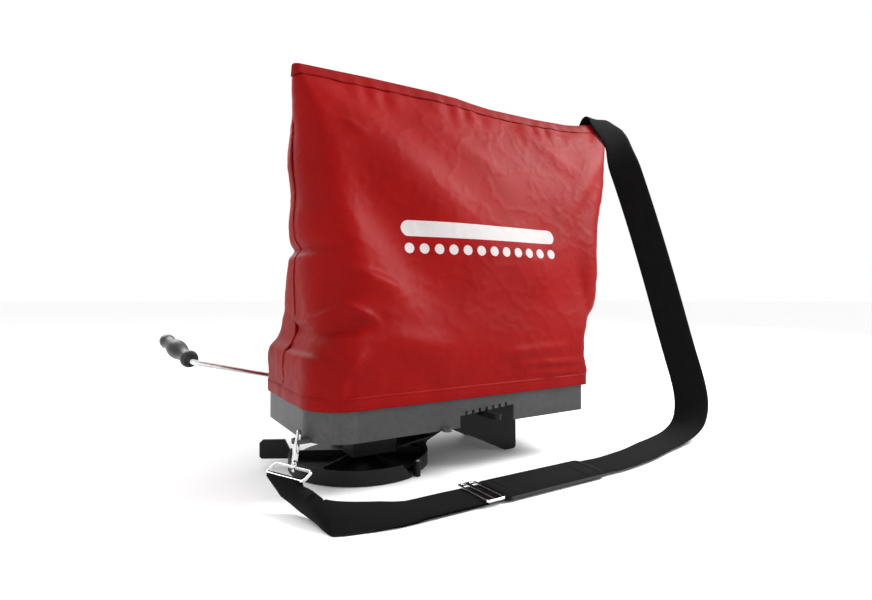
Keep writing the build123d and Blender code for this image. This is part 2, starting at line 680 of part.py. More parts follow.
with BuildPart() as impeller_nut:
    with BuildSketch(Plane.XY.offset(7.4)):
        RegularPolygon(5, 6)
        Circle(POST_R, mode=Mode.SUBTRACT)
    extrude(amount=1.6)
save(impeller_nut.part, "impeller_nut")

# ---- Fixed guard, its pivot and braces ----
with BuildPart() as lower_guard:
    with BuildSketch(Plane.XY.offset(4.1)):
        Circle(GUARD_R)
        Circle(5, mode=Mode.SUBTRACT)
    extrude(amount=2.5)
    with BuildSketch(Plane.XY.offset(1.9)):
        sector(GUARD_R, GUARD_FROM, GUARD_TO)
        Circle(GUARD_R - 2.5, mode=Mode.SUBTRACT)
    extrude(amount=GUARD_TOP - 1.9)
    foot_turn = math.radians(FOOT_AT)
    foot_at = (94.5 * math.cos(foot_turn), 94.5 * math.sin(foot_turn))
    with BuildSketch(Plane.XY):
        with Locations(foot_at):
            Circle(3.6)
        with Locations(Location((92 * math.cos(foot_turn), 92 * math.sin(foot_turn), 0), (0, 0, FOOT_AT))):
            Rectangle(5, 5)
    extrude(amount=GUARD_TOP - 0.4)
save(lower_guard.part, "lower_guard")

with BuildPart() as guard_screw:
    with Locations((*foot_at, GUARD_TOP - 0.3)):
        Cylinder(2.6, 1.5, align=(Align.CENTER, Align.CENTER, Align.MIN))
    fillet(guard_screw.edges().group_by(Axis.Z)[-1], 0.6)
save(guard_screw.part, "guard_screw")

with BuildPart() as guard_pivot:
    with Locations((0, 0, 0)):
        Cylinder(11, 2, align=(Align.CENTER, Align.CENTER, Align.MIN))
        Cylinder(4.95, 6.6, align=(Align.CENTER, Align.CENTER, Align.MIN))
save(guard_pivot.part, "guard_pivot")

with BuildPart() as impeller_cover:
    with BuildSketch(Plane.XZ.offset(43)):
        with BuildLine():
            Polyline((34, COVER_Z), (85, COVER_Z + 7.2), (85, COVER_Z + 9.6), (34, COVER_Z + 2.4), close=True)
        make_face()
    extrude(amount=-78)
save(impeller_cover.part, "impeller_cover")

for name, brace_y in (("brace_near", -4.0), ("brace_far", 20.0)):
    with BuildPart() as brace:
        with BuildSketch(Plane.XZ.offset(-brace_y - 2)):
            with BuildLine():
                Polyline(
                    (90.8, 4.1),
                    (95, 4.1),
                    (101.5, 17.7),
                    (180, 51.3),
                    (180, RIM_Z),
                    (60, RIM_Z),
                    (60, COVER_Z + 6.3),
                    (85.2, COVER_Z + 9.9),
                    (85.2, GUARD_TOP + 0.2),
                    (90.8, GUARD_TOP + 0.2),
                    close=True,
                )
            make_face()
        extrude(amount=4)
        split(bisect_by=slope(-0.1), keep=Keep.BOTTOM)
    save(brace.part, name)

# ---- Movable baffle: quarter rim with a ramped end, floor sector, hub and paddle ----
with BuildPart() as baffle_guard:
    with BuildSketch(Plane.XY.offset(2.3)):
        sector(BAFFLE_R, BAFFLE_FROM, BAFFLE_TO)
        Circle(12)
        Circle(5.15, mode=Mode.SUBTRACT)
    extrude(amount=1.5)
    with BuildSketch(Plane.XY.offset(0.6)):
        sector(BAFFLE_R, BAFFLE_FROM, BAFFLE_FLAT_TO)
        Circle(BAFFLE_R - 1.7, mode=Mode.SUBTRACT)
    extrude(amount=GUARD_TOP - 0.6)
    RAMP_STEPS = 8
    for i in range(RAMP_STEPS):
        start = BAFFLE_FLAT_TO + (BAFFLE_TO - BAFFLE_FLAT_TO) * i / RAMP_STEPS
        end = BAFFLE_FLAT_TO + (BAFFLE_TO - BAFFLE_FLAT_TO) * (i + 1) / RAMP_STEPS
        with BuildSketch(Plane.XY.offset(0.6)):
            sector(BAFFLE_R, start - 0.05, end)
            Circle(BAFFLE_R - 1.7, mode=Mode.SUBTRACT)
        extrude(amount=(GUARD_TOP - 0.6) * (1 - (i + 1) / (RAMP_STEPS + 1)))
    paddle_turn = math.radians(PADDLE_AT)
    paddle_dir = (math.cos(paddle_turn), math.sin(paddle_turn), 0)
    paddle_plane = Plane(origin=(0, 0, 0), x_dir=paddle_dir, z_dir=(math.sin(paddle_turn), -math.cos(paddle_turn), 0))
    with BuildSketch(paddle_plane.offset(-2)):
        with BuildLine():
            Polyline(
                (BAFFLE_R - 1.2, 8),
                (PADDLE_OUT - 3, 8),
                (PADDLE_OUT, 11),
                (PADDLE_OUT, 29),
                (PADDLE_OUT - 4, 33),
                (BAFFLE_R + 6, 33),
                (BAFFLE_R - 1.2, 18.5),
                close=True,
            )
        make_face()
    extrude(amount=4)
save(baffle_guard.part, "baffle_guard")

# ---- Crank ----
spindle = Vector(*SPINDLE_DIR).normalized()
arm_end = Vector(*ARM_END)
SPINDLE_LONG = GRIP_LONG + 4
with BuildPart() as crank_rod:
    with BuildLine() as rod_path:
        FilletPolyline(
            (0, 6, SHAFT_Z),
            (0, CRANK_Y, SHAFT_Z),
            ARM_END,
            arm_end + spindle * SPINDLE_LONG,
            radius=(13, 9),
        )
    with BuildSketch(Plane(origin=rod_path.line @ 0, z_dir=rod_path.line % 0)):
        Circle(ROD_R)
    sweep()
    with BuildSketch(Plane.XY.offset(SHAFT_Z - 5)):
        with Locations((0, 17)):
            Circle(1.2)
    extrude(amount=10, mode=Mode.SUBTRACT)
save(crank_rod.part, "crank_rod")

with BuildPart() as crank_clip:
    with BuildSketch(Plane.XZ.offset(-31.2)):
        with Locations((0, SHAFT_Z)):
            Circle(7.5)
            Circle(ROD_R, mode=Mode.SUBTRACT)
    extrude(amount=-1.2)
save(crank_clip.part, "crank_clip")

side_dir = spindle.cross(Vector(0, 0, 1)).normalized()
grip_plane = Plane(origin=arm_end, x_dir=side_dir, z_dir=side_dir.cross(spindle))
grip_axis = Axis(arm_end, spindle)
GRIP_START, BORE_R, POCKET_R = 9.0, ROD_R + 0.15, 7.2
with BuildPart() as crank_grip:
    with BuildSketch(grip_plane):
        with BuildLine():
            Polyline((BORE_R, GRIP_START), (9.5, GRIP_START))
            ThreePointArc((9.5, GRIP_START), (12.2, GRIP_START + 6), (10.6, GRIP_START + 13))
            Spline(
                (10.6, GRIP_START + 13),
                (9.4, GRIP_START + 24),
                (13.6, GRIP_START + 52),
                (10.0, GRIP_START + 78),
                (11.0, GRIP_START + 88),
            )
            Polyline(
                (11.0, GRIP_START + 88),
                (10.4, GRIP_START + 95),
                (POCKET_R, GRIP_START + 95),
                (POCKET_R, GRIP_START + 86),
                (BORE_R, GRIP_START + 86),
                (BORE_R, GRIP_START),
            )
        make_face()
    revolve(axis=grip_axis)
save(crank_grip.part, "crank_grip")

with BuildPart() as grip_end_cap:
    with BuildSketch(grip_plane):
        with BuildLine():
            Polyline(
                (0, GRIP_START + 95.1),
                (9.8, GRIP_START + 95.1),
                (9.6, GRIP_START + 97),
                (7.4, GRIP_START + 99.2),
                (3.5, GRIP_START + GRIP_LONG),
                (0, GRIP_START + GRIP_LONG),
                close=True,
            )
        make_face()
    revolve(axis=grip_axis)
save(grip_end_cap.part, "grip_end_cap")

nut_plane = Plane(origin=arm_end + spindle * (GRIP_START + 87.5), z_dir=spindle)
with BuildPart() as grip_push_nut:
    with BuildSketch(nut_plane):
        Circle(6.4)
        Circle(ROD_R, mode=Mode.SUBTRACT)
    extrude(amount=1.2)
save(grip_push_nut.part, "grip_push_nut")

# ---- Snap hook through the lug ----
lug_hole = Vector(LUG_AT[0], LUG_AT[1], SKIRT_Z + LUG_T / 2)
hook_up = Vector(0.30, 0.437, 0.847).normalized()
hook_out = Vector(-0.48, -0.698, 0.53)
hook_out = (hook_out - hook_up * hook_out.dot(hook_up)).normalized()
hook_side = hook_out.cross(hook_up)


def hook_point(out, up):
    """A point in the snap hook's own plane, from the lug's hole."""
    return lug_hole + hook_out * out + hook_up * up


WIRE_R, HOOK_W = 1.5, 12.0
with BuildPart() as snap_hook:
    with BuildLine() as hook_path:
        FilletPolyline(
            hook_point(HOOK_W / 2, -20),
            hook_point(HOOK_W, -12),
            hook_point(HOOK_W, 9),
            hook_point(0, 9),
            hook_point(0, -3.5),
            radius=(4, 5.8, 5.8),
        )
    with BuildSketch(Plane(origin=hook_path.line @ 0, z_dir=hook_path.line % 0)):
        Circle(WIRE_R)
    sweep()
    # Foot that carries the gate, the swivel barrel and its eye
    foot_plane = Plane(origin=hook_point(HOOK_W / 2, -16), x_dir=hook_out, z_dir=hook_side)
    with BuildSketch(foot_plane.offset(-1.5)):
        with Locations((-4.3, 0)):
            Rectangle(6.2, 2.6)
    extrude(amount=3)
    with BuildSketch(Plane(origin=hook_point(HOOK_W / 2, -17), z_dir=hook_up)):
        Circle(3.4)
    extrude(amount=-7)
    eye_centre = hook_point(HOOK_W / 2, -29.3)
    with BuildSketch(Plane(origin=eye_centre, x_dir=hook_up, z_dir=hook_side.cross(hook_up))):
        with Locations((5.2, 0)):
            Circle(1.5)
    revolve(axis=Axis(eye_centre, hook_side))
save(snap_hook.part, "snap_hook")

gate_foot = hook_point(0, -13.1)
with BuildPart() as hook_gate:
    with BuildSketch(Plane(origin=gate_foot, z_dir=hook_up)):
        Circle(1.2)
    extrude(amount=9.3)
    with BuildSketch(Plane(origin=gate_foot - hook_side * 1.3, z_dir=hook_side)):
        Circle(1.25)
    extrude(amount=2.6)
save(hook_gate.part, "hook_gate")

# ---- Strap: wire ring, webbing, adjuster and pad ----
ring_long = Vector(0.43, -0.90, 0.0).normalized()
ring_out = Vector(-0.80, -0.38, -0.46)
ring_out = (ring_out - ring_long * ring_out.dot(ring_long)).normalized()
RING_L, RING_W = 56.0, 15.0
ring_rear = eye_centre - hook_up * 1.6
ring_centre = ring_rear + ring_out * (RING_W / 2)
ring_plane = Plane(origin=ring_centre, x_dir=ring_long, z_dir=ring_long.cross(ring_out))
ring_wire = (ring_plane * RectangleRounded(RING_L, RING_W, 4)).wire()
with BuildPart() as strap_ring:
    with BuildSketch(Plane(origin=ring_wire @ 0, z_dir=ring_wire % 0)):
        Circle(1.6)
    sweep(path=ring_wire)
save(strap_ring.part, "strap_ring")

# The webbing's centreline, from the ring, over the bag's top corner, to the back
strap_start = ring_centre + ring_out * (RING_W / 2 + 3.2)
strap_route = [
    (strap_start.X, strap_start.Y, strap_start.Z),
    (-128, -122, 23),
    (-123, -138, 15),
    (-119, -162, 13),
    (-110, -177, 12),
    (-84, -183, 10),
    (-48, STRAP_Y + 0.6, 6.2),
    (-20, STRAP_Y, STRAP_Z),
    (278, STRAP_Y, STRAP_Z),
    (330, -180, STRAP_Z),
    (380, -168, STRAP_Z),
    (428, -158, 5),
    (474, -152, 10),
    (506, -148, 28),
    (524, -138, 66),
    (522, -114, 140),
    (514, -89, 240),
    (499, -65, 345),
    (483, -43, 436),
    (466, -43, 464),
    (447, -49, 490),
    (436, -32, 514),
    (431, -19, 531),
    (429, -8, 521),
    (430, 0, 501),
]
# The direction across the webbing at each point of the route
floor_across, air_across = Vector(0, -1, 0), Vector(0.576, -0.793, 0.18)
strap_across = [-ring_long, Vector(-0.85, 0.15, -0.5), Vector(-1, -0.15, -0.35), Vector(-0.95, -0.3, -0.3)]
strap_across += [Vector(-0.7, -0.7, -0.3), Vector(-0.15, -0.95, -0.28), Vector(0, -1, -0.12)] + [floor_across] * 3
strap_across += [Vector(0.1, -1, 0), Vector(0.15, -1, 0), Vector(0.2, -0.97, 0.02), Vector(0.35, -0.92, 0.1)]
strap_across += [air_across] * 5
# Folding over the bag's top corner
strap_across += [Vector(0.75, -0.45, 0.48), Vector(0.82, -0.12, 0.55), Vector(0.95, -0.05, 0.25)]
strap_across += [Vector(1, 0, 0.04)] + [Vector(1, 0, 0.03)] * 2


def corner_radius(before, corner, after):
    """0.45 of the shorter run over the tangent of half the turn."""
    run_in, run_out = Vector(*corner) - Vector(*before), Vector(*after) - Vector(*corner)
    half_turn = math.radians(run_in.get_angle(run_out)) / 2
    return 0.45 * min(run_in.length, run_out.length) / math.tan(half_turn)


strap_radii = [corner_radius(*strap_route[i - 1 : i + 2]) for i in range(1, len(strap_route) - 1)]
print("webbing radii:", [round(r) for r in strap_radii])
with BuildLine(mode=Mode.PRIVATE) as strap_line:
    FilletPolyline(*strap_route, radius=strap_radii)
webbing_wire = strap_line.wire()
print("webbing length:", round(webbing_wire.length))


def route_share(i):
    """Where along the webbing the route's point i lies, from 0 to 1."""
    runs = [(Vector(*b) - Vector(*a)).length for a, b in zip(strap_route, strap_route[1:])]
    return sum(runs[:i]) / sum(runs)


shares = [route_share(i) for i in range(len(strap_route))]


def across_at(share):
    """The direction across the webbing at a share of its length."""
    i = max(k for k in range(len(shares) - 1) if shares[k] <= share + 1e-9)
    blend = (share - shares[i]) / (shares[i + 1] - shares[i])
    return strap_across[i] * (1 - blend) + strap_across[i + 1] * blend


flat_from, flat_to = shares[7] + 0.012, shares[8] - 0.012
stations = [flat_from * k / 18 for k in range(19)]
stations += [flat_to + (shares[18] - flat_to) * k / 22 for k in range(22)]
stations += [shares[18] + (1 - shares[18]) * k / 30 for k in range(31)]
with BuildPart() as strap_webbing:
    for share in stations:
        tangent = webbing_wire % share
        across = across_at(share)
        across = (across - tangent * across.dot(tangent)).normalized()
        with BuildSketch(Plane(origin=webbing_wire @ share, x_dir=across, z_dir=tangent)):
            Rectangle(STRAP_W, STRAP_T)
    loft(ruled=True)
save(strap_webbing.part, "strap_webbing")
print("webbing volume share:", round(strap_webbing.part.volume / (STRAP_W * STRAP_T * webbing_wire.length), 3))

with BuildPart() as strap_return:
    with BuildSketch(Plane.XY.offset(0.4)):
        plan_box(-38, 58, STRAP_Y - 24, STRAP_Y + 24)
    extrude(amount=2.0)
save(strap_return.part, "strap_return")

with BuildPart() as strap_adjuster:
    with BuildSketch(Plane.XY.offset(6.2)):
        with Locations(ADJUSTER_AT):
            RectangleRounded(25, 59, 4)
            with Locations((-6, 0), (6, 0)):
                RectangleRounded(7, 52, 1.5, mode=Mode.SUBTRACT)
    extrude(amount=2.6)
    fillet(strap_adjuster.faces().sort_by(Axis.Z)[-1].edges(), 0.8)
save(strap_adjuster.part, "strap_adjuster")

with BuildPart() as shoulder_pad:
    with BuildSketch(Plane.XY):
        plan_box(PAD_X0, PAD_X1, STRAP_Y - PAD_W / 2, STRAP_Y + PAD_W / 2)
    extrude(amount=PAD_H)
    fillet(shoulder_pad.edges().filter_by(Axis.X), 2)
    with BuildSketch(Plane.YZ.offset(PAD_X0 - 1)):
        with Locations((STRAP_Y, STRAP_Z)):
            Rectangle(STRAP_W + 1, STRAP_T + 0.8)
    extrude(amount=PAD_X1 - PAD_X0 + 2, mode=Mode.SUBTRACT)
save(shoulder_pad.part, "shoulder_pad")

with BuildPart() as strap_anchor_patch:
    patch_at = zip_plane.from_local_coords(Vector(260, -13, 0.3))
    with BuildSketch(Plane(origin=patch_at, x_dir=along, z_dir=outward)):
        Rectangle(26, 20)
    extrude(amount=2)
save(strap_anchor_patch.part, "strap_anchor_patch")
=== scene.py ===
"""The looks of a shoulder-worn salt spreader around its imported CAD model.

Everything is in metres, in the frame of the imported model: +X runs along the tray away from the impeller,
+Y towards the crank and +Z up.
"""
import json
import math

import bpy
import numpy as np
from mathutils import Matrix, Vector, noise


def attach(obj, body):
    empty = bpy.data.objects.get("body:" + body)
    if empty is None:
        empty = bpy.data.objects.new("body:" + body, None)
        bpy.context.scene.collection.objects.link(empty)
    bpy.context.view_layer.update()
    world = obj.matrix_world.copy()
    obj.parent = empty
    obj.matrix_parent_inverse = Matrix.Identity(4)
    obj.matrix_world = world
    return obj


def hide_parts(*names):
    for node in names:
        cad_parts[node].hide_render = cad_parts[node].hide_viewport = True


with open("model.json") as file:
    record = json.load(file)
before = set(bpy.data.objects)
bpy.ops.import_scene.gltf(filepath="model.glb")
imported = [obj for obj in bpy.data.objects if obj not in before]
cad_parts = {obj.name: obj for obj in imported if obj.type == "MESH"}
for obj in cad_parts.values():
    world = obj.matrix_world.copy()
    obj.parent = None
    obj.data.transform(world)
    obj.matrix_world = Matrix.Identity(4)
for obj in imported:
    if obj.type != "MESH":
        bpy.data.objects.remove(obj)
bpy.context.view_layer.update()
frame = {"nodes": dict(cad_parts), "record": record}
nodes = frame["nodes"]
scene = bpy.context.scene
scene.view_settings.view_transform = "Standard"

# ---- Camera ----
VIEW_TURN = math.radians(-31.7)  # the view's heading, from +Y
camera_data = bpy.data.cameras.new("camera")
camera_data.lens = 22.3
camera_data.sensor_width = 36
camera_data.shift_y = -0.0034
camera_data.clip_start = 0.02
camera = bpy.data.objects.new("camera", camera_data)
camera.location = (-0.293, -0.668, 0.222)
camera.rotation_euler = (math.pi / 2, 0, VIEW_TURN)
scene.collection.objects.link(camera)
scene.camera = camera


# ---- Small tools ----
def unit(v):
    """The vector, or each row of an array of vectors, at length one."""
    v = np.asarray(v, float)
    return v / np.maximum(np.linalg.norm(v, axis=-1, keepdims=True), 1e-12)


def mesh_piece(name, points, faces, material, body="root", uv=None):
    """A smooth-shaded mesh piece that rides on a body. uv gives each point's place in its pattern."""
    mesh = bpy.data.meshes.new(name)
    mesh.from_pydata([tuple(p) for p in points], [], [tuple(int(i) for i in f) for f in faces])
    mesh.validate()
    mesh.materials.append(material)
    mesh.polygons.foreach_set("use_smooth", [True] * len(mesh.polygons))
    if uv is not None:
        loops = np.empty(len(mesh.loops), np.int32)
        mesh.loops.foreach_get("vertex_index", loops)
        layer = mesh.uv_layers.new(name="pattern")
        layer.data.foreach_set("uv", np.asarray(uv, np.float32)[loops].ravel())
    mesh.update()
    piece = bpy.data.objects.new(name, mesh)
    scene.collection.objects.link(piece)
    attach(piece, body)
    return piece


def grid_faces(rows, cols, wrap=False, start=0, flip=False):
    """Four-sided faces between the points of a grid, row after row.

    wrap joins the last column to the first, and flip turns the faces over.
    """
    faces = []
    for i in range(rows - 1):
        for j in range(cols if wrap else cols - 1):
            k = (j + 1) % cols
            low, high = start + i * cols, start + (i + 1) * cols
            face = [low + j, low + k, high + k, high + j]
            faces.append(face[::-1] if flip else face)
    return faces


def smooth_line(points, resolution=16):
    """Points read from the NURBS spline that has these points as its control points."""
    data = bpy.data.curves.new("route", "CURVE")
    data.dimensions = "3D"
    spline = data.splines.new("NURBS")
    spline.points.add(len(points) - 1)
    for target, p in zip(spline.points, points):
        target.co = (*p, 1)
    spline.order_u = 3
    spline.use_endpoint_u = True
    spline.resolution_u = resolution
    holder = bpy.data.objects.new("route", data)
    scene.collection.objects.link(holder)
    bpy.context.view_layer.update()
    mesh = bpy.data.meshes.new_from_object(holder)
    line = np.array([v.co for v in mesh.vertices], float)
    bpy.data.objects.remove(holder)
    bpy.data.curves.remove(data)
    bpy.data.meshes.remove(mesh)
    keep = np.r_[True, np.linalg.norm(np.diff(line, axis=0), axis=1) > 1e-6]
    return line[keep]


def along_line(line):
    """How far each point of a line is from its start."""
    return np.r_[0, np.cumsum(np.linalg.norm(np.diff(line, axis=0), axis=1))]


def spread(line, controls, values):
    """Each point's value, turning evenly between the values at the controls."""
    far = along_line(line)
    spots = []
    for c in controls:
        spots.append(far[np.argmin(np.linalg.norm(line - np.asarray(c), axis=1))])
    spots = np.maximum.accumulate(np.array(spots) + np.arange(len(spots)) * 1e-6)
    values = np.asarray(values, float)
    if values.ndim == 1:
        return np.interp(far, spots, values)
    return np.stack([np.interp(far, spots, values[:, k]) for k in range(values.shape[1])], axis=1)


def directions(line, controls, across):
    """Tangent and square across direction of a flat band at each point."""
    side = spread(line, controls, unit(across))
    tangent = unit(np.gradient(line, axis=0))
    side = unit(side - tangent * (side * tangent).sum(1, keepdims=True))
    return tangent, side


def band(name, line, side, normal, width, thick, material, body="root", ripple=0.0):
    """A flat woven band along a line, with soft edges and closed ends, kept above the floor."""
    width = np.broadcast_to(width, len(line))
    edge = np.linspace(-1, 1, 15)
    shape = [(x, thick / 2 * (1 - abs(x) ** 8 * 0.72)) for x in edge]
    shape += [(x, -thick / 2 * (1 - abs(x) ** 8 * 0.72)) for x in edge[::-1]]
    far = along_line(line)
    points, uv = [], []
    for i, p in enumerate(line):
        wave = ripple * math.sin(far[i] * 61) * math.sin(far[i] * 23 + 1)
        # Where the band is narrower than it was woven, it is cupped along its length
        cup = max(0.0, float(width.max() - width[i])) * 0.3
        for x, n in shape:
            lift = wave * x * x + cup * x * x
            q = p + side[i] * x * width[i] / 2 + normal[i] * (n + lift)
            q[2] = max(q[2], 0.0003 + (0.0004 if n > 0 else 0.0))
            points.append(q)
            uv.append((x * width.max() / 2, far[i]))
    count = len(shape)
    faces = grid_faces(len(line), count, wrap=True)
    faces.append(list(range(count)))
    faces.append(list(range(len(points) - 1, len(points) - 1 - count, -1)))
    return mesh_piece(name, points, faces, material, body, uv)


# ---- Materials ----
def new_material(name, colour, rough, metal=0.0, specular=0.5):
    material = bpy.data.materials.new(name)
    material.use_nodes = True
    shader = material.node_tree.nodes["Principled BSDF"]
    shader.inputs["Base Color"].default_value = (*colour, 1)
    shader.inputs["Roughness"].default_value = rough
    shader.inputs["Metallic"].default_value = metal
    shader.inputs["Specular IOR Level"].default_value = specular
    return material, material.node_tree.nodes, material.node_tree.links, shader


def noise_node(nodes_, links, vector, scale, detail=3.0, rough=0.55, stretch=(1, 1, 1)):
    """A noise texture over the object's own metres, stretched by a share along each axis."""
    mapping = nodes_.new("ShaderNodeMapping")
    mapping.inputs["Scale"].default_value = stretch
    links.new(vector, mapping.inputs["Vector"])
    texture = nodes_.new("ShaderNodeTexNoise")
    texture.inputs["Scale"].default_value = scale
    texture.inputs["Detail"].default_value = detail
    texture.inputs["Roughness"].default_value = rough
    links.new(mapping.outputs["Vector"], texture.inputs["Vector"])
    return texture.outputs["Fac"]


def maths(nodes_, links, operation, a, b=0.0, c=None):
    """One step of arithmetic between node outputs or numbers."""
    step = nodes_.new("ShaderNodeMath")
    step.operation = operation
    for socket, value in zip(step.inputs, (a, b, c)):
        if value is None:
            continue
        if isinstance(value, (int, float)):
            socket.default_value = value
        else:
            links.new(value, socket)
    return step.outputs[0]


def colours(nodes_, links, share, stops):
    """A colour ramp: stops are (place, colour)."""
    ramp = nodes_.new("ShaderNodeValToRGB")
    elements = ramp.color_ramp.elements
    while len(elements) < len(stops):
        elements.new(0.5)
    for element, (place, colour) in zip(elements, stops):
        element.position = place
        element.color = (*colour, 1)
    links.new(share, ramp.inputs["Fac"])
    return ramp.outputs["Color"]


def between(nodes_, links, share, low, high):
    """A value from low to high as share goes from 0 to 1."""
    spread = nodes_.new("ShaderNodeMapRange")
    spread.inputs["To Min"].default_value = low
    spread.inputs["To Max"].default_value = high
    links.new(share, spread.inputs["Value"])
    return spread.outputs["Result"]


def bump(nodes_, links, shader, height, distance, strength=1.0, below=None):
    relief = nodes_.new("ShaderNodeBump")
    relief.inputs["Strength"].default_value = strength
    relief.inputs["Distance"].default_value = distance
    links.new(height, relief.inputs["Height"])
    if below is not None:
        links.new(below, relief.inputs["Normal"])
    links.new(relief.outputs["Normal"], shader.inputs["Normal"])
    return relief.outputs["Normal"]


def scaled(colour, share):
    return tuple(min(1.0, c * share) for c in colour)


def plastic(name, colour, rough, specular, grain=2600.0, depth=0.00005, worn=None):
    """Moulded plastic: a fine eroded grain, faint flow marks, uneven gloss and paler rubbed edges."""
    material, n, l, shader = new_material(name, colour, rough, specular=specular)
    spot = n.new("ShaderNodeTexCoord").outputs["Object"]
    flow = noise_node(n, l, spot, 9.0, 4.0, 0.6, (1, 1, 2.5))
    specks = noise_node(n, l, spot, 900.0, 2.0)
    mixed = maths(n, l, "MULTIPLY_ADD", specks, 0.25, maths(n, l, "MULTIPLY", flow, 0.75))
    base = colours(n, l, mixed, [(0.3, scaled(colour, 0.82)), (0.55, colour), (0.8, scaled(colour, 1.18))])
    geometry = n.new("ShaderNodeNewGeometry").outputs["Pointiness"]
    edge = maths(n, l, "MULTIPLY", maths(n, l, "SUBTRACT", geometry, 0.52), 9.0)
    scuff = maths(n, l, "MULTIPLY", edge, noise_node(n, l, spot, 160.0, 4.0, 0.7))
    mix = n.new("ShaderNodeMix")
    mix.data_type = "RGBA"
    mix.clamp_factor = True
    l.new(scuff, mix.inputs["Factor"])
    l.new(base, mix.inputs["A"])
    mix.inputs["B"].default_value = (*(worn or scaled(colour, 2.0)), 1)
    l.new(mix.outputs["Result"], shader.inputs["Base Color"])
    gloss = noise_node(n, l, spot, 30.0, 5.0, 0.65)
    l.new(between(n, l, gloss, rough - 0.07, rough + 0.09), shader.inputs["Roughness"])
    bump(n, l, shader, noise_node(n, l, spot, grain, 2.0), depth)
    return material


def metal(name, colour, rough, drawn=(1, 1, 1)):
    """Plated or drawn metal with fine scratches, small dull spots and uneven gloss."""
    material, n, l, shader = new_material(name, colour, rough, metal=1.0)
    spot = n.new("ShaderNodeTexCoord").outputs["Object"]
    dull = noise_node(n, l, spot, 120.0, 5.0, 0.7)
    base = colours(n, l, dull, [(0.3, scaled(colour, 0.72)), (0.6, colour)])
    l.new(base, shader.inputs["Base Color"])
    lines = noise_node(n, l, spot, 700.0, 3.0, 0.6, drawn)
    l.new(between(n, l, lines, max(rough - 0.06, 0.03), rough + 0.14), shader.inputs["Roughness"])
    bump(n, l, shader, lines, 0.00004, 0.6)
    return material


def woven(name, colour, pitch_across, pitch_along, relief, rough=0.85, specular=0.12, sheen=0.1, twill=0.0):
    """Webbing or tape: rows of raised yarns in the pattern's own metres, with lint and uneven dye, painted shade
    between the yarns and a painted highlight on their crests.
    """
    material, n, l, shader = new_material(name, colour, rough, specular=specular)
    shader.inputs["Sheen Weight"].default_value = sheen
    shader.inputs["Sheen Roughness"].default_value = 0.5
    uv = n.new("ShaderNodeUVMap")
    uv.uv_map = "pattern"
    parts = n.new("ShaderNodeSeparateXYZ")
    l.new(uv.outputs["UV"], parts.inputs["Vector"])
    u, v = parts.outputs["X"], parts.outputs["Y"]
    slant = maths(n, l, "MULTIPLY_ADD", u, twill, v)
    rows = maths(n, l, "SINE", maths(n, l, "MULTIPLY", slant, 2 * math.pi / pitch_along))
    columns = maths(n, l, "SINE", maths(n, l, "MULTIPLY", u, 2 * math.pi / pitch_across))
    weave = maths(n, l, "MULTIPLY_ADD", maths(n, l, "MULTIPLY", rows, columns), 0.5, 0.5)
    ribs = maths(n, l, "MULTIPLY_ADD", rows, 0.5, 0.5)
    height = maths(n, l, "MULTIPLY_ADD", ribs, 0.6, maths(n, l, "MULTIPLY", weave, 0.4))
    spot = n.new("ShaderNodeTexCoord").outputs["Object"]
    lint = noise_node(n, l, spot, 60.0, 6.0, 0.7)
    # Base colour from the yarns' height mixed with lint: painted shade where the yarns dip and a painted
    # highlight on their crests
    shade = maths(n, l, "MULTIPLY_ADD", height, 0.55, maths(n, l, "MULTIPLY", lint, 0.45))
    stops = [(0.2, scaled(colour, 0.45)), (0.6, colour), (0.9, scaled(colour, 1.9))]
    l.new(colours(n, l, shade, stops), shader.inputs["Base Color"])
    bump(n, l, shader, height, relief)
    return material


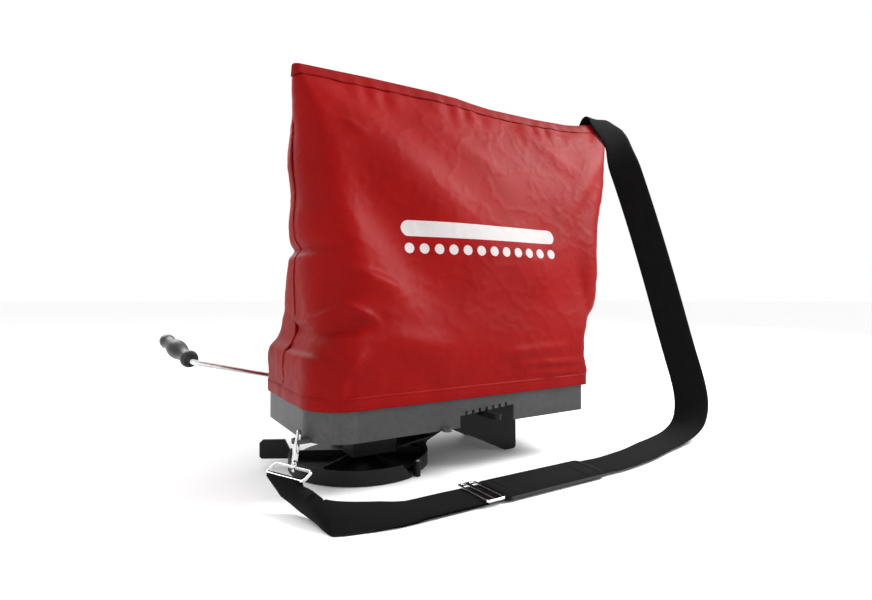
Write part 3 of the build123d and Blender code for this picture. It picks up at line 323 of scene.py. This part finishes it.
def bag_fabric(name, colour, mark=False):
    """Coated plain-weave polyester: slubs both ways, uneven dye and faint creasing.

    mark prints the plain mark, a bar with round ends over a row of dots.
    """
    material, n, l, shader = new_material(name, colour, 0.5, specular=0.075)
    shader.inputs["Sheen Weight"].default_value = 0.01
    shader.inputs["Sheen Roughness"].default_value = 0.45
    shader.inputs["Sheen Tint"].default_value = (1.0, 0.75, 0.75, 1)
    uv = n.new("ShaderNodeUVMap")
    uv.uv_map = "pattern"
    weave_at = uv.outputs["UV"]
    weft = noise_node(n, l, weave_at, 1.0, 3.0, 0.6, (90, 1500, 1))
    warp = noise_node(n, l, weave_at, 1.0, 3.0, 0.6, (1500, 90, 1))
    threads = maths(n, l, "MULTIPLY_ADD", weft, 0.5, maths(n, l, "MULTIPLY", warp, 0.5))
    spot = n.new("ShaderNodeTexCoord").outputs["Object"]
    dye = noise_node(n, l, spot, 7.0, 4.0, 0.55)
    shade = maths(n, l, "MULTIPLY_ADD", threads, 0.62, maths(n, l, "MULTIPLY", dye, 0.38))
    stops = [(0.34, scaled(colour, 0.74)), (0.5, colour), (0.66, scaled(colour, 1.22))]
    base = colours(n, l, shade, stops)
    if mark:
        parts = n.new("ShaderNodeSeparateXYZ")
        l.new(weave_at, parts.inputs["Vector"])
        x, z = parts.outputs["X"], parts.outputs["Y"]

        def rounded(cx, cz, half_long, radius, pitch=None):
            """1 inside a bar with round ends, or inside a row of dots where a pitch is given."""
            px = maths(n, l, "ABSOLUTE", maths(n, l, "SUBTRACT", x, cx))
            inside = maths(n, l, "LESS_THAN", px, half_long + radius)
            if pitch:
                in_cell = maths(n, l, "MODULO", px, pitch)
                reach = maths(n, l, "ABSOLUTE", maths(n, l, "SUBTRACT", in_cell, pitch / 2))
            else:
                reach = maths(n, l, "MAXIMUM", maths(n, l, "SUBTRACT", px, half_long), 0.0)
            pz = maths(n, l, "SUBTRACT", z, cz)
            squares = maths(n, l, "ADD", maths(n, l, "POWER", reach, 2.0), maths(n, l, "POWER", pz, 2.0))
            far = maths(n, l, "SQRT", squares)
            return maths(n, l, "MULTIPLY", inside, maths(n, l, "LESS_THAN", far, radius))

        bar = rounded(MARK_X, MARK_Z + 0.012, MARK_HALF - BAR_R, BAR_R)
        dots = rounded(MARK_X, MARK_Z - 0.013, MARK_HALF - DOT_R, DOT_R, MARK_HALF / 6)
        ink = maths(n, l, "MAXIMUM", bar, dots)
        ink = maths(n, l, "MULTIPLY", ink, between(n, l, threads, 0.82, 1.06))
        mix = n.new("ShaderNodeMix")
        mix.data_type = "RGBA"
        mix.clamp_factor = True
        l.new(ink, mix.inputs["Factor"])
        l.new(base, mix.inputs["A"])
        mix.inputs["B"].default_value = (0.50, 0.48, 0.48, 1)
        base = mix.outputs["Result"]
    l.new(base, shader.inputs["Base Color"])
    l.new(between(n, l, dye, 0.44, 0.58), shader.inputs["Roughness"])
    crumple = noise_node(n, l, spot, 55.0, 5.0, 0.62)
    soft = n.new("ShaderNodeBump")
    soft.inputs["Distance"].default_value = 0.0016
    soft.inputs["Strength"].default_value = 0.2
    l.new(crumple, soft.inputs["Height"])
    bump(n, l, shader, threads, 0.00022, 0.55, soft.outputs["Normal"])
    return material


MARK_X, MARK_Z = 0.142, 0.296  # middle of the printed mark, along the panel and up it
MARK_HALF = 0.122
BAR_R, DOT_R = 0.010, 0.0065
RED = (0.212, 0.0009, 0.0009)
looks = {
    "tray_grey": plastic("moulded_grey", (0.034, 0.034, 0.0352), 0.42, 0.2, worn=(0.08, 0.08, 0.083)),
    "black_plastic": plastic("moulded_black", (0.0042, 0.0042, 0.0045), 0.42, 0.13, worn=(0.016, 0.016, 0.017)),
    "natural_nylon": plastic("nylon", (0.62, 0.59, 0.52), 0.5, 0.4, worn=(0.75, 0.73, 0.67)),
    "grip_black": plastic(
        "grip_plastic", (0.009, 0.009, 0.0095), 0.34, 0.4, 1500.0, 0.00012, worn=(0.04, 0.04, 0.042)
    ),
    "rubber": plastic("rubber", (0.012, 0.012, 0.012), 0.75, 0.2, 1500.0, 0.00008),
    "chrome": metal("plated_wire", (0.78, 0.78, 0.79), 0.14),
    "steel": metal("zinc_steel", (0.58, 0.58, 0.6), 0.3, (1, 1, 8)),
    "red_fabric": bag_fabric("bag_fabric", RED),
    "black_webbing": woven("webbing", (0.0045, 0.0045, 0.0047), 0.0021, 0.0017, 0.0003, 0.85, 0.06, 0.02),
    "black_pad": woven("pad_cover", (0.0045, 0.0045, 0.0047), 0.0012, 0.0012, 0.00018, 0.8, 0.07, 0.02),
    "zipper_tape": woven("zipper_tape", (0.012, 0.012, 0.0125), 0.0011, 0.0011, 0.00012),
}
front_fabric = bag_fabric("bag_front_fabric", RED, mark=True)
hem_fabric = bag_fabric("bag_hem_fabric", scaled(RED, 0.88))
thread_red = plastic("thread_red", scaled(RED, 0.72), 0.7, 0.1)
strap_edge = woven("pad_binding", (0.014, 0.014, 0.0145), 0.0015, 0.0012, 0.00015, 0.55, 0.2)

for part in frame["record"]["subparts"]:
    piece = nodes[part["node"]]
    finish = looks[part["material_slot"]]
    if piece.material_slots:
        for holder in piece.material_slots:
            holder.material = finish
    else:
        piece.data.materials.append(finish)

# ---- Shoulder strap ----
WEB_WIDE, WEB_THICK = 0.050, 0.0024
FLOOR_ACROSS = (0, -1, 0)
AIR_ACROSS = (0.576, -0.793, 0.18)
ring_long = np.array([0.43110, -0.90230, 0.0])
ring_out = np.array([-0.80074, -0.38258, -0.46092])
ring_bar = np.array([-0.13017, -0.09944, 0.03208])  # middle of the ring's far bar
strap_route = [
    (-0.13273, -0.10067, 0.03060),
    (-0.128, -0.122, 0.023),
    (-0.123, -0.138, 0.015),
    (-0.119, -0.162, 0.013),
    (-0.110, -0.177, 0.012),
    (-0.084, -0.183, 0.010),
    (-0.048, -0.1854, 0.0062),
    (-0.020, -0.186, 0.0046),
    (0.264, -0.186, 0.0046),
    (0.278, -0.186, 0.0046),
    (0.330, -0.180, 0.0046),
    (0.380, -0.168, 0.0046),
    (0.428, -0.158, 0.005),
    (0.474, -0.152, 0.010),
    (0.506, -0.148, 0.028),
    (0.524, -0.138, 0.066),
    (0.522, -0.114, 0.140),
    (0.514, -0.089, 0.240),
    (0.499, -0.065, 0.345),
    (0.483, -0.043, 0.436),
    (0.466, -0.043, 0.464),
    (0.447, -0.049, 0.490),
    (0.436, -0.032, 0.514),
    (0.431, -0.019, 0.531),
    (0.429, -0.008, 0.521),
    (0.430, 0.0, 0.501),
]
# Half the webbing's width in millimetres, where it is gathered and runs aslant in its turn at the ring
gathered = [(-10.8, 22.6, 0), (-10.7, 14, -6.2), (-3.75, 12, -12.2), (-2, -4, -12.3), (-3.5, -18, -11.6)]
gathered += [(0, -20, -9), (0, -24.5, -3.6)]
# The direction across the webbing at each point of the route
strap_across = gathered + [FLOOR_ACROSS] * 4
strap_across += [(0.1, -1, 0), (0.15, -1, 0), (0.2, -0.97, 0.02), (0.35, -0.92, 0.1)] + [AIR_ACROSS] * 5
strap_across += [(0.75, -0.45, 0.48), (0.82, -0.12, 0.55), (0.95, -0.05, 0.25)]
strap_across += [(1, 0, 0.04), (1, 0, 0.03), (1, 0, 0.03)]
strap_line = smooth_line(strap_route)
strap_tangent, square_side = directions(strap_line, strap_route, strap_across)
FLAT_FROM = len(gathered)  # the first point of the route where the webbing lies flat
start_halves = gathered + [(0, -25, 0)] * (len(strap_route) - FLAT_FROM)
start_half = spread(strap_line, strap_route, np.array(start_halves) / 1000)
lies_flat = np.linalg.norm(strap_line - np.array(strap_route[FLAT_FROM]), axis=1).argmin()
in_turn = (np.arange(len(strap_line)) < lies_flat)[:, None]
strap_half = np.where(in_turn, start_half, square_side * WEB_WIDE / 2)
strap_wide = 2 * np.linalg.norm(strap_half, axis=1)
strap_side = unit(strap_half)
strap_normal = unit(np.cross(strap_tangent, strap_side))
strap_look = looks["black_webbing"]
webbing = band("webbing", strap_line, strap_side, strap_normal, strap_wide, WEB_THICK, strap_look, ripple=0.0004)
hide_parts("strap_webbing")

# The webbing's return: round the ring's bar, then under the upper layer to the adjuster
bar_normal = unit(np.cross(ring_long, ring_out))
ADJUSTER_X = 0.058
LAYERS = 0.0027  # from the middle of the upper layer to the middle of the return
LEAD = 3  # points left out at each side of the join between the turn and the straight run
TURN_R = 0.0029  # from the middle of the ring's bar to the middle of the webbing round it
turn_points = []
for angle in np.radians(np.arange(60, -241, -15)):
    turn_points.append(ring_bar + TURN_R * (math.sin(angle) * -bar_normal + math.cos(angle) * ring_out * 0.9))
upper = [p for p in strap_line if p[0] < ADJUSTER_X]
under = np.array(upper) + strap_normal[: len(upper)] * LAYERS
under[:, 2] = np.maximum(under[:, 2], 0.0014)
around = np.array(turn_points)[:-LEAD]
run = slice(LEAD, len(upper))
return_line = np.concatenate([around, under[LEAD:]])
return_side = np.concatenate([np.tile(-ring_long, (len(around), 1)), strap_side[run]])
return_wide = np.concatenate([np.full(len(around), WEB_WIDE), strap_wide[run]]) - 0.002
return_normal = unit(np.cross(unit(np.gradient(return_line, axis=0)), return_side))
returning = band("webbing_return", return_line, return_side, return_normal, return_wide, 0.0021, strap_look)
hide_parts("strap_return")

# Shoulder pad: a padded sleeve that slides on the webbing
PAD_START, PAD_END, PAD_WIDE, PAD_TALL, PAD_Y = 0.077, 0.237, 0.056, 0.009, -0.186
TUNNEL_WIDE, TUNNEL_LOW, TUNNEL_HIGH = 0.0512, 0.0029, 0.0063
PAD_SLANT = 0.20  # how far the right end runs on for each metre of width towards the back
PAD_LONG, PAD_END_R = 0.16, 0.006  # length of the sleeve, and how far its ends round off
PAD_SEAMS = (0.012, 0.126, 0.148)  # seams across the sleeve, from its left end
PAD_SIDES = 40


def pad_ring(x, share, groove):
    """Outer and inner points of the sleeve's section; x is not used; share is 0 at the ends and 1 along the body.
    """
    half_wide = PAD_WIDE / 2 - 0.0016 * (1 - share)
    half_tall = PAD_TALL / 2 - 0.0011 * (1 - share) - groove
    outer, inner = [], []
    for k in range(PAD_SIDES):
        a = 2 * math.pi * k / PAD_SIDES
        c, s = math.cos(a), math.sin(a)
        y = math.copysign(abs(c) ** 0.42, c) * half_wide
        z = math.copysign(abs(s) ** 0.5, s) * half_tall + PAD_TALL / 2
        outer.append((y, max(z, 0.0002)))
        ty = math.copysign(abs(c) ** 0.2, c) * TUNNEL_WIDE / 2
        tz = math.copysign(abs(s) ** 0.2, s) * (TUNNEL_HIGH - TUNNEL_LOW) / 2 + (TUNNEL_HIGH + TUNNEL_LOW) / 2
        inner.append((ty, tz))
    return outer, inner


left_round = np.linspace(0, PAD_END_R, 6)
right_round = np.linspace(0.154, PAD_LONG, 6)
stations = np.unique(np.concatenate([left_round, np.linspace(PAD_END_R, 0.154, 120), right_round]))
pad_points, pad_uv = [], []
for s in stations:
    share = math.sqrt(max(0.0, min(1.0, min(s, PAD_LONG - s) / PAD_END_R)))
    seams = sum(math.exp(-(((s - at) / 0.0011) ** 2)) for at in PAD_SEAMS)
    outer, inner = pad_ring(s, share, 0.0007 * seams)
    for ring in (outer, inner):
        for y, z in ring:
            slant = PAD_SLANT * y * max(0.0, (s - 0.10) / 0.06)
            pad_points.append((PAD_START + s + min(slant, 0.0), PAD_Y + y, z))
            pad_uv.append((y, s))
rings = len(stations)
ring_size = 2 * PAD_SIDES  # the outer points, then the inner ones
pad_faces = []
for i in range(rings - 1):
    a, b = i * ring_size, (i + 1) * ring_size
    for k in range(PAD_SIDES):
        m = (k + 1) % PAD_SIDES
        pad_faces.append((a + k, a + m, b + m, b + k))
        pad_faces.append((a + PAD_SIDES + m, a + PAD_SIDES + k, b + PAD_SIDES + k, b + PAD_SIDES + m))
for base, flip in ((0, False), ((rings - 1) * ring_size, True)):
    for k in range(PAD_SIDES):
        m = (k + 1) % PAD_SIDES
        face = (base + k, base + PAD_SIDES + k, base + PAD_SIDES + m, base + m)
        pad_faces.append(face[::-1] if flip else face)
pad = mesh_piece("pad", pad_points, pad_faces, looks["black_pad"], "pad", pad_uv)
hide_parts("shoulder_pad")

piping_x = np.linspace(PAD_START + 0.004, PAD_END - 0.007, 40)
piping_line = [(x, PAD_Y - PAD_WIDE / 2 + 0.0013, 0.0042) for x in piping_x]


def tube(name, line, radius, material, body="root", sides=10, flat=1.0):
    """A round or flattened tube along a line, with tapered closed ends."""
    line = np.asarray(line, float)
    tangent = unit(np.gradient(line, axis=0))
    side = np.cross(tangent, (0, 0, 1.0))
    side[np.linalg.norm(side, axis=1) < 1e-3] = (1, 0, 0)
    side = unit(side)
    over = np.cross(side, tangent)
    far = along_line(line)
    points, uv = [], []
    for i, p in enumerate(line):
        r = radius * min(1.0, 0.35 + min(far[i], far[-1] - far[i]) / (radius * 1.5))
        for k in range(sides):
            a = 2 * math.pi * k / sides
            points.append(p + side[i] * math.cos(a) * r + over[i] * math.sin(a) * r * flat)
            uv.append((r * a, far[i]))
    faces = grid_faces(len(line), sides, wrap=True)
    faces.append(list(range(sides))[::-1])
    faces.append(list(range(len(points) - sides, len(points))))
    return mesh_piece(name, points, faces, material, body, uv)


piping = tube("pad_piping", piping_line, 0.0021, strap_edge, "pad")

# ---- Bag ----
# In millimetres: left end, right end, half depth, middle y, height, tilt in degrees, left and right corner radius
bag_sections = np.array([
    (-102, 303, 117, 0, 97, 0, 51, 9),
    (-102, 304, 117, 0, 111, 0, 51, 9),
    (-102, 318, 117, 0, 150, 0, 51, 20),
    (-100, 376, 97, -5, 222, 0, 70, 56),
    (-99, 400, 80, -9, 300, 0.5, 70, 62),
    (-98, 430, 53, -13, 400, 1, 48, 48),
    (-97, 446, 27, -16, 465, 1.75, 24, 24),
    (-96, 459, 4, -18, 511, 1.75, 3.5, 3.5),
], float)
# How far the left side draws in, and the right side swells out, at each height
left_drawn = [(97, 0), (120, 0.6), (150, 0), (154, 0.5), (167, 10), (193, 12), (230, 9), (262, 9), (272, 10)]
left_drawn += [(283, 17), (292, 11), (310, 7), (351, 7.5), (393, 2), (452, 2.5), (490, 0), (511, 0)]
left_drawn = np.array(left_drawn, float)
right_swell = [(97, 2), (118, 3), (136, -6), (150, -9), (165, -13), (207, -8), (244, -14), (280, -10)]
right_swell = np.array(right_swell + [(339, -11), (394, -4), (456, -7), (490, -3), (511, 0)], float)
# How far the top edge sags at each x
top_sag = [(-96, -3), (0, -2.5), (60, -1), (97, 0), (140, 2.5), (165, 6), (200, 9.5), (257, 11), (290, 12)]
top_sag = np.array(top_sag + [(360, 11.5), (385, 9), (405, 5), (430, 2), (459, 2)], float)
BAG_LOW, BAG_HIGH = 97.0, 511.0
BAG_COLS, BAG_ROWS = 200, 150


def steady(z, table):
    """Smooth value of a table of (height, value...) rows at z."""
    at, values = table[:, 0], table[:, 1:]
    i = int(np.clip(np.searchsorted(at, z, side="right") - 1, 0, len(at) - 2))
    slope = np.gradient(values, at, axis=0)
    h = at[i + 1] - at[i]
    t = np.clip((z - at[i]) / h, 0, 1)
    start = (2 * t**3 - 3 * t**2 + 1) * values[i] + (t**3 - 2 * t**2 + t) * h * slope[i]
    return start + (3 * t**2 - 2 * t**3) * values[i + 1] + (t**3 - t**2) * h * slope[i + 1]


section_table = bag_sections[:, [4, 0, 1, 2, 3, 5, 6, 7]]


def bag_row(z, back):
    """Points of one half of the bag's outline at height z, from the left seam to the right seam."""
    x0, x1, half, mid, tilt, r0, r1 = steady(z, section_table)
    r0, r1 = min(r0, half - 0.05), min(r1, half - 0.05)
    runs = np.array([half - r0, math.pi / 2 * r0, x1 - x0 - r0 - r1, math.pi / 2 * r1, half - r1])
    ends = np.cumsum(runs)
    row = []
    for s in np.linspace(0, ends[-1], BAG_COLS):
        if s <= ends[0]:
            x, d = x0, s
        elif s <= ends[1]:
            a = (s - ends[0]) / r0
            x, d = x0 + r0 * (1 - math.cos(a)), half - r0 + r0 * math.sin(a)
        elif s <= ends[2]:
            x, d = x0 + r0 + s - ends[1], half
        elif s <= ends[3]:
            a = (s - ends[2]) / r1
            x, d = x1 - r1 + r1 * math.sin(a), half - r1 + r1 * math.cos(a)
        else:
            x, d = x1, half - r1 - (s - ends[3])
        y = mid + d if back else mid - d
        left = float(steady(z, left_drawn)[0]) * max(0.0, 1 - (x - x0) / 90) ** 1.5
        right = float(steady(z, right_swell)[0]) * max(0.0, 1 - (x1 - x) / 90) ** 1.5
        row.append((x + left + right, y, z + (x - (x0 + x1) / 2) * math.tan(math.radians(tilt))))
    return row


def to_segment(x, z, a, b):
    """Distance from points to a segment, its signed side, and the share along it."""
    ax, az, bx, bz = a[0], a[1], b[0], b[1]
    dx, dz = bx - ax, bz - az
    t = np.clip(((x - ax) * dx + (z - az) * dz) / (dx * dx + dz * dz), 0, 1)
    away = np.hypot(x - ax - t * dx, z - az - t * dz)
    signed = ((x - ax) * dz - (z - az) * dx) / math.hypot(dx, dz)
    return away, signed, t


def fold(x, z, a, b, width, height, lean=0.0):
    """A soft ridge, or a valley where height is below zero, from a to b. lean makes one flank steeper."""
    away, signed, t = to_segment(x, z, a, b)
    taper = np.sin(np.clip(t * 0.9 + 0.05, 0, 1) * math.pi) ** 0.6
    w = width * (1 + lean * np.tanh(signed / width))
    return height * taper * np.exp(-((away / w) ** 2))


front_folds = [  # start, end (x, z in mm), half width, height in mm, lean
    ((-79, 482), (120, 321), 36, 8.0, 0.3),
    ((120, 321), (250, 235), 42, 4.0, 0.0),
    ((-60, 400), (75, 216), 46, -12.0, -0.2),
    ((-46, 437), (-18, 421), 5, 2.2, 0.2),
    ((-46, 251), (8, 232), 11, 7.0, 0.4),
    ((-96, 184), (-26, 193), 11, -9.0, 0.0),
    ((-98, 186), (-60, 213), 6, 5.0, 0.3),
    ((-60, 213), (-24, 194), 6, 5.0, 0.3),
    ((-102, 162), (-74, 152), 6, -4.5, 0.0),
    ((-46, 158), (-69, 135), 7, 5.5, 0.3),
    ((-69, 135), (-75, 105), 7, 4.5, 0.2),
    ((-20, 176), (60, 160), 16, 4.0, 0.2),
    ((170, 133), (300, 131), 5, 2.8, 0.0),
    ((190, 119), (302, 118), 4, 2.2, 0.0),
    ((150, 148), (260, 152), 7, 2.6, 0.0),
    ((418, 470), (300, 345), 20, 5.0, 0.3),
    ((300, 345), (230, 210), 28, 4.0, 0.0),
    ((345, 300), (372, 180), 16, 4.5, 0.3),
    ((310, 260), (336, 160), 14, -4.0, 0.0),
    ((60, 470), (180, 400), 18, 3.0, 0.3),
    ((240, 480), (330, 420), 14, 3.0, 0.2),
    ((150, 260), (60, 150), 24, 4.0, 0.2),
]
back_folds = [
    ((-70, 440), (90, 260), 34, 5.0, 0.3),
    ((420, 430), (260, 250), 30, 5.0, 0.3),
    ((90, 380), (200, 200), 40, -6.0, 0.0),
    ((-60, 240), (20, 180), 14, 4.0, 0.3),
    ((300, 240), (220, 150), 14, 4.0, 0.2),
    ((120, 180), (230, 165), 10, 3.0, 0.0),
]


def bag_half(name, back, material):
    """One fabric panel of the bag: its outline at each height, then folds, puckers and fine creasing."""
    heights = BAG_LOW + (BAG_HIGH - BAG_LOW) * np.linspace(0, 1, BAG_ROWS)
    base = np.array([bag_row(z, back) for z in heights])
    down_rows = np.gradient(base, axis=0)
    down_cols = np.gradient(base, axis=1)
    out = unit(np.cross(down_cols, down_rows))
    if back:
        out = -out
    sag = np.interp(base[:, :, 0], top_sag[:, 0], top_sag[:, 1])
    sag_from = 490 if back else 430  # the zipper holds the back panel straight up to here
    base[:, :, 2] -= sag * np.clip((heights[:, None] - sag_from) / (BAG_HIGH - sag_from), 0, 1)
    x, z = base[:, :, 0], base[:, :, 2]
    level = np.repeat(heights[:, None], BAG_COLS, axis=1)
    lift = np.zeros_like(x)
    for start, end, width, height, lean in back_folds if back else front_folds:
        lift += fold(x, z, start, end, width, height, lean)
    salt = 40.0 if back else 0.0
    rough = np.empty_like(x)
    for i in range(BAG_ROWS):
        for j in range(BAG_COLS):
            p = Vector(base[i, j]) / 1000
            q = Vector((p.x * 8 + p.z * 5 + salt, p.y * 6, p.z * 7 - p.x * 3))
            broad = noise.fractal(q, 1.0, 2.1, 2)
            q = Vector((p.x * 26 + p.z * 16, p.y * 20 + salt, p.z * 24 - p.x * 12))
            fine = 1 - abs(noise.fractal(q, 0.9, 2.1, 3)) * 2.2
            rough[i, j] = broad * 1.6 + max(fine, 0.0) ** 3 * 0.6
    lift += rough
    puckers = np.sin(x / 6.3 + 2.1 * np.sin(x / 23)) * np.exp(-(((level - 489) / 16) ** 2)) * 1.3
    lift += puckers
    gathers = np.sin(x / 9.1 + 1.3 * np.sin(x / 31) + salt) * np.exp(-(((level - 120) / 12) ** 2)) * 0.5
    lift += gathers
    hemmed = np.clip((level - BAG_LOW) / 16, 0, 1)
    topped = np.clip((BAG_HIGH - level) / 30, 0, 1)
    lift *= hemmed**0.7 * (0.12 + 0.88 * topped)
    if back:
        zipped = np.clip((level - 440) / 20, 0, 1)
        lift = lift * (1 - zipped) - 1.0 * zipped
    above_rim = np.clip((level - 150) / 16, 0, 1)
    lift = np.maximum(lift, -0.6 - above_rim * 30)
    points = (base + out * lift[:, :, None]) / 1000
    steps = np.linalg.norm(np.diff(points, axis=1), axis=2)
    s = np.concatenate([np.zeros((BAG_ROWS, 1)), np.cumsum(steps, axis=1)], axis=1)
    uv = np.stack([s - s[:, [BAG_COLS // 2]] + points[:, [BAG_COLS // 2], 0], points[:, :, 2]], axis=2)
    faces = grid_faces(BAG_ROWS, BAG_COLS, flip=back)
    piece = mesh_piece(name, points.reshape(-1, 3), faces, material, "root", uv.reshape(-1, 2))
    thick = piece.modifiers.new("cloth", "SOLIDIFY")
    thick.thickness = 0.0009
    thick.offset = -1
    return piece, points, out


bag_front, front_points, front_out = bag_half("bag_front", False, front_fabric)
bag_back, back_points, back_out = bag_half("bag_back", True, looks["red_fabric"])
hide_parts("bag_front_panel")
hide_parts("bag_back_panel")


def strip(name, centre, out, up, width, thick, material):
    """A flat folded band of cloth along a line: centre points, outward and upward directions."""
    shape = [(-0.5, 0.0), (-0.5, 0.55), (-0.42, 0.95), (-0.2, 1.0)]
    shape += [(-v, n) for v, n in shape[::-1]]
    points, uv = [], []
    far = along_line(centre)
    for i, p in enumerate(centre):
        for v, n in shape:
            points.append(p + up[i] * v * width + out[i] * n * thick)
            uv.append((far[i], v * width))
    faces = grid_faces(len(centre), len(shape), wrap=True)
    faces.append(list(range(len(shape))))
    faces.append(list(range(len(points) - 1, len(points) - 1 - len(shape), -1)))
    return mesh_piece(name, points, faces, material, "root", uv)


def stitches(name, line, out, material, stitch=0.0034, gap=0.0017, radius=0.00034):
    """A row of short thread stitches lying on a surface."""
    far = along_line(line)
    points, faces = [], []
    at = gap
    while at + stitch < far[-1]:
        ends = []
        for place, sink in ((at, 0.6), (at + stitch / 2, -0.6), (at + stitch, 0.6)):
            p = np.array([np.interp(place, far, line[:, k]) for k in range(3)])
            o = unit([np.interp(place, far, out[:, k]) for k in range(3)])
            ends.append((p - o * radius * sink, o))
        direction = unit(ends[2][0] - ends[0][0])
        start = len(points)
        for (p, o), size in zip(ends, (0.5, 1.0, 0.5)):
            side = np.cross(direction, o)
            for k in range(6):
                a = math.pi / 3 * k
                points.append(p + (side * math.cos(a) + o * math.sin(a)) * radius * size)
        faces += grid_faces(3, 6, wrap=True, start=start)
        faces.append([start + k for k in range(6)][::-1])
        faces.append([start + 12 + k for k in range(6)])
        at += stitch + gap
    piece = mesh_piece(name, points, faces, material)
    return piece


TOP_HEM = 0.015
row_step = (BAG_HIGH - BAG_LOW) / 1000 / (BAG_ROWS - 1)
hem_row = BAG_ROWS - 1 - round(TOP_HEM / 2 / row_step)
stitch_row = BAG_ROWS - 1 - round((TOP_HEM - 0.0022) / row_step)


def hem_line(points, out, row):
    up = unit(points[row + 1] - points[row - 1])
    return points[row], out[row], up


hem_x = front_points[hem_row][:, 0]
wave = 0.0004 + 0.0003 * np.sin(hem_x * 70 + 2 * np.sin(hem_x * 19)) + 0.0002 * np.sin(hem_x * 260)
p, o, up = hem_line(front_points, front_out, hem_row)
top_hem = strip("top_hem_front", p + o * (0.0002 + wave[:, None]), o, up, TOP_HEM, 0.0007, hem_fabric)
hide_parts("bag_top_hem")
p, o, up = hem_line(back_points, back_out, BAG_ROWS - 3)
back_hem = strip("top_hem_back", p + o * 0.0002, o, up, 0.0095, 0.0014, hem_fabric)
cap_line = (front_points[-1] + back_points[-1]) / 2
cap = tube("top_hem_fold", cap_line + np.array([0, 0, -0.0004]), 0.0044, hem_fabric, flat=0.5)
p, o, up = hem_line(front_points, front_out, stitch_row)
top_thread = stitches("top_hem_stitches", p + o * (0.0009 + wave[:, None]), o, thread_red, radius=0.00026)

# Side seams, where the two panels are sewn together
for name, column in (("seam_left", 0), ("seam_right", -1)):
    seam = (front_points[:, column] + back_points[:, column]) / 2
    piece = tube(name, seam[2:-2], 0.0010, hem_fabric, flat=1.0)

# Bottom hem: a sewn band round the tray
BAND_LOW, BAND_HIGH, BAND_THICK = 0.0958, 0.1115, 0.0006
BAND_TALL = BAND_HIGH - BAND_LOW
ring = np.concatenate([front_points[3], back_points[3][::-1][1:-1]])
ring_outward = np.concatenate([front_out[3], back_out[3][::-1][1:-1]])
ring_outward[:, 2] = 0
ring_outward = unit(ring_outward)
ring[:, 2] = (BAND_LOW + BAND_HIGH) / 2
ring = ring + ring_outward * (0.0003 * np.sin(np.arange(len(ring)) * 0.31)[:, None] + 0.0002)
shape = [(-0.5, -1.2), (-0.5, 0.5), (-0.4, 1.0), (0.0, 1.1), (0.4, 1.0), (0.5, 0.5), (0.5, -1.2)]
band_points, band_uv = [], []
far = along_line(ring)
for i, p in enumerate(ring):
    for v, n in shape:
        band_points.append(p + np.array([0, 0, 1]) * v * BAND_TALL + ring_outward[i] * n * BAND_THICK)
        band_uv.append((far[i], v * BAND_TALL))
count = len(shape)
faces = []
for i in range(len(ring)):
    k = (i + 1) % len(ring)
    for j in range(count):
        m = (j + 1) % count
        faces.append((i * count + j, i * count + m, k * count + m, k * count + j))
bottom_hem = mesh_piece("bottom_hem", band_points, faces, looks["red_fabric"], "root", band_uv)
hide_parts("bag_bottom_hem")
thread_out = np.concatenate([ring_outward, ring_outward[:1]])
thread_ring = np.concatenate([ring, ring[:1]]) + thread_out * 0.0007
thread_ring[:, 2] = 0.1088
bottom_thread = stitches("bottom_hem_stitches", thread_ring, thread_out, thread_red, radius=0.00022)

# ---- Floor, light and sky ----
floor_material, n, l, shader = new_material("floor", (0.96, 0.96, 0.96), 0.9, specular=0.1)
spot = n.new("ShaderNodeTexCoord").outputs["Object"]
speckle = noise_node(n, l, spot, 3.0, 3.0)
shades = [(0.3, (0.95, 0.95, 0.95)), (0.7, (0.97, 0.97, 0.97))]
l.new(colours(n, l, speckle, shades), shader.inputs["Base Color"])
floor_mesh = bpy.data.meshes.new("floor")
FLOOR_HALF = 30.0
floor_corners = [(x * FLOOR_HALF, y * FLOOR_HALF, 0) for x, y in ((-1, -1), (1, -1), (1, 1), (-1, 1))]
floor_mesh.from_pydata(floor_corners, [], [(0, 1, 2, 3)])
floor_mesh.materials.append(floor_material)
floor = bpy.data.objects.new("floor", floor_mesh)
floor.location = (0, 0, -0.0005)
scene.collection.objects.link(floor)

world = bpy.data.worlds.new("sky")
world.use_nodes = True
world.node_tree.nodes["Background"].inputs["Color"].default_value = (1, 1, 1, 1)
world.node_tree.nodes["Background"].inputs["Strength"].default_value = 1.0
scene.world = world


def soft_light(name, place, target, size, power):
    data = bpy.data.lights.new(name, "AREA")
    data.shape = "RECTANGLE"
    data.size, data.size_y = size
    data.energy = power
    light = bpy.data.objects.new(name, data)
    light.location = place
    light.rotation_euler = (Vector(target) - Vector(place)).to_track_quat("-Z", "Y").to_euler()
    scene.collection.objects.link(light)


soft_light("key", (1.7, -0.75, 1.55), (0.25, 0, 0.3), (0.9, 0.9), 64)
soft_light("fill", (-1.8, -0.8, 1.0), (0.1, 0, 0.2), (1.2, 1.2), 5)
soft_light("back", (-0.3, 1.8, 1.4), (0.2, 0, 0.25), (1.2, 0.8), 14)
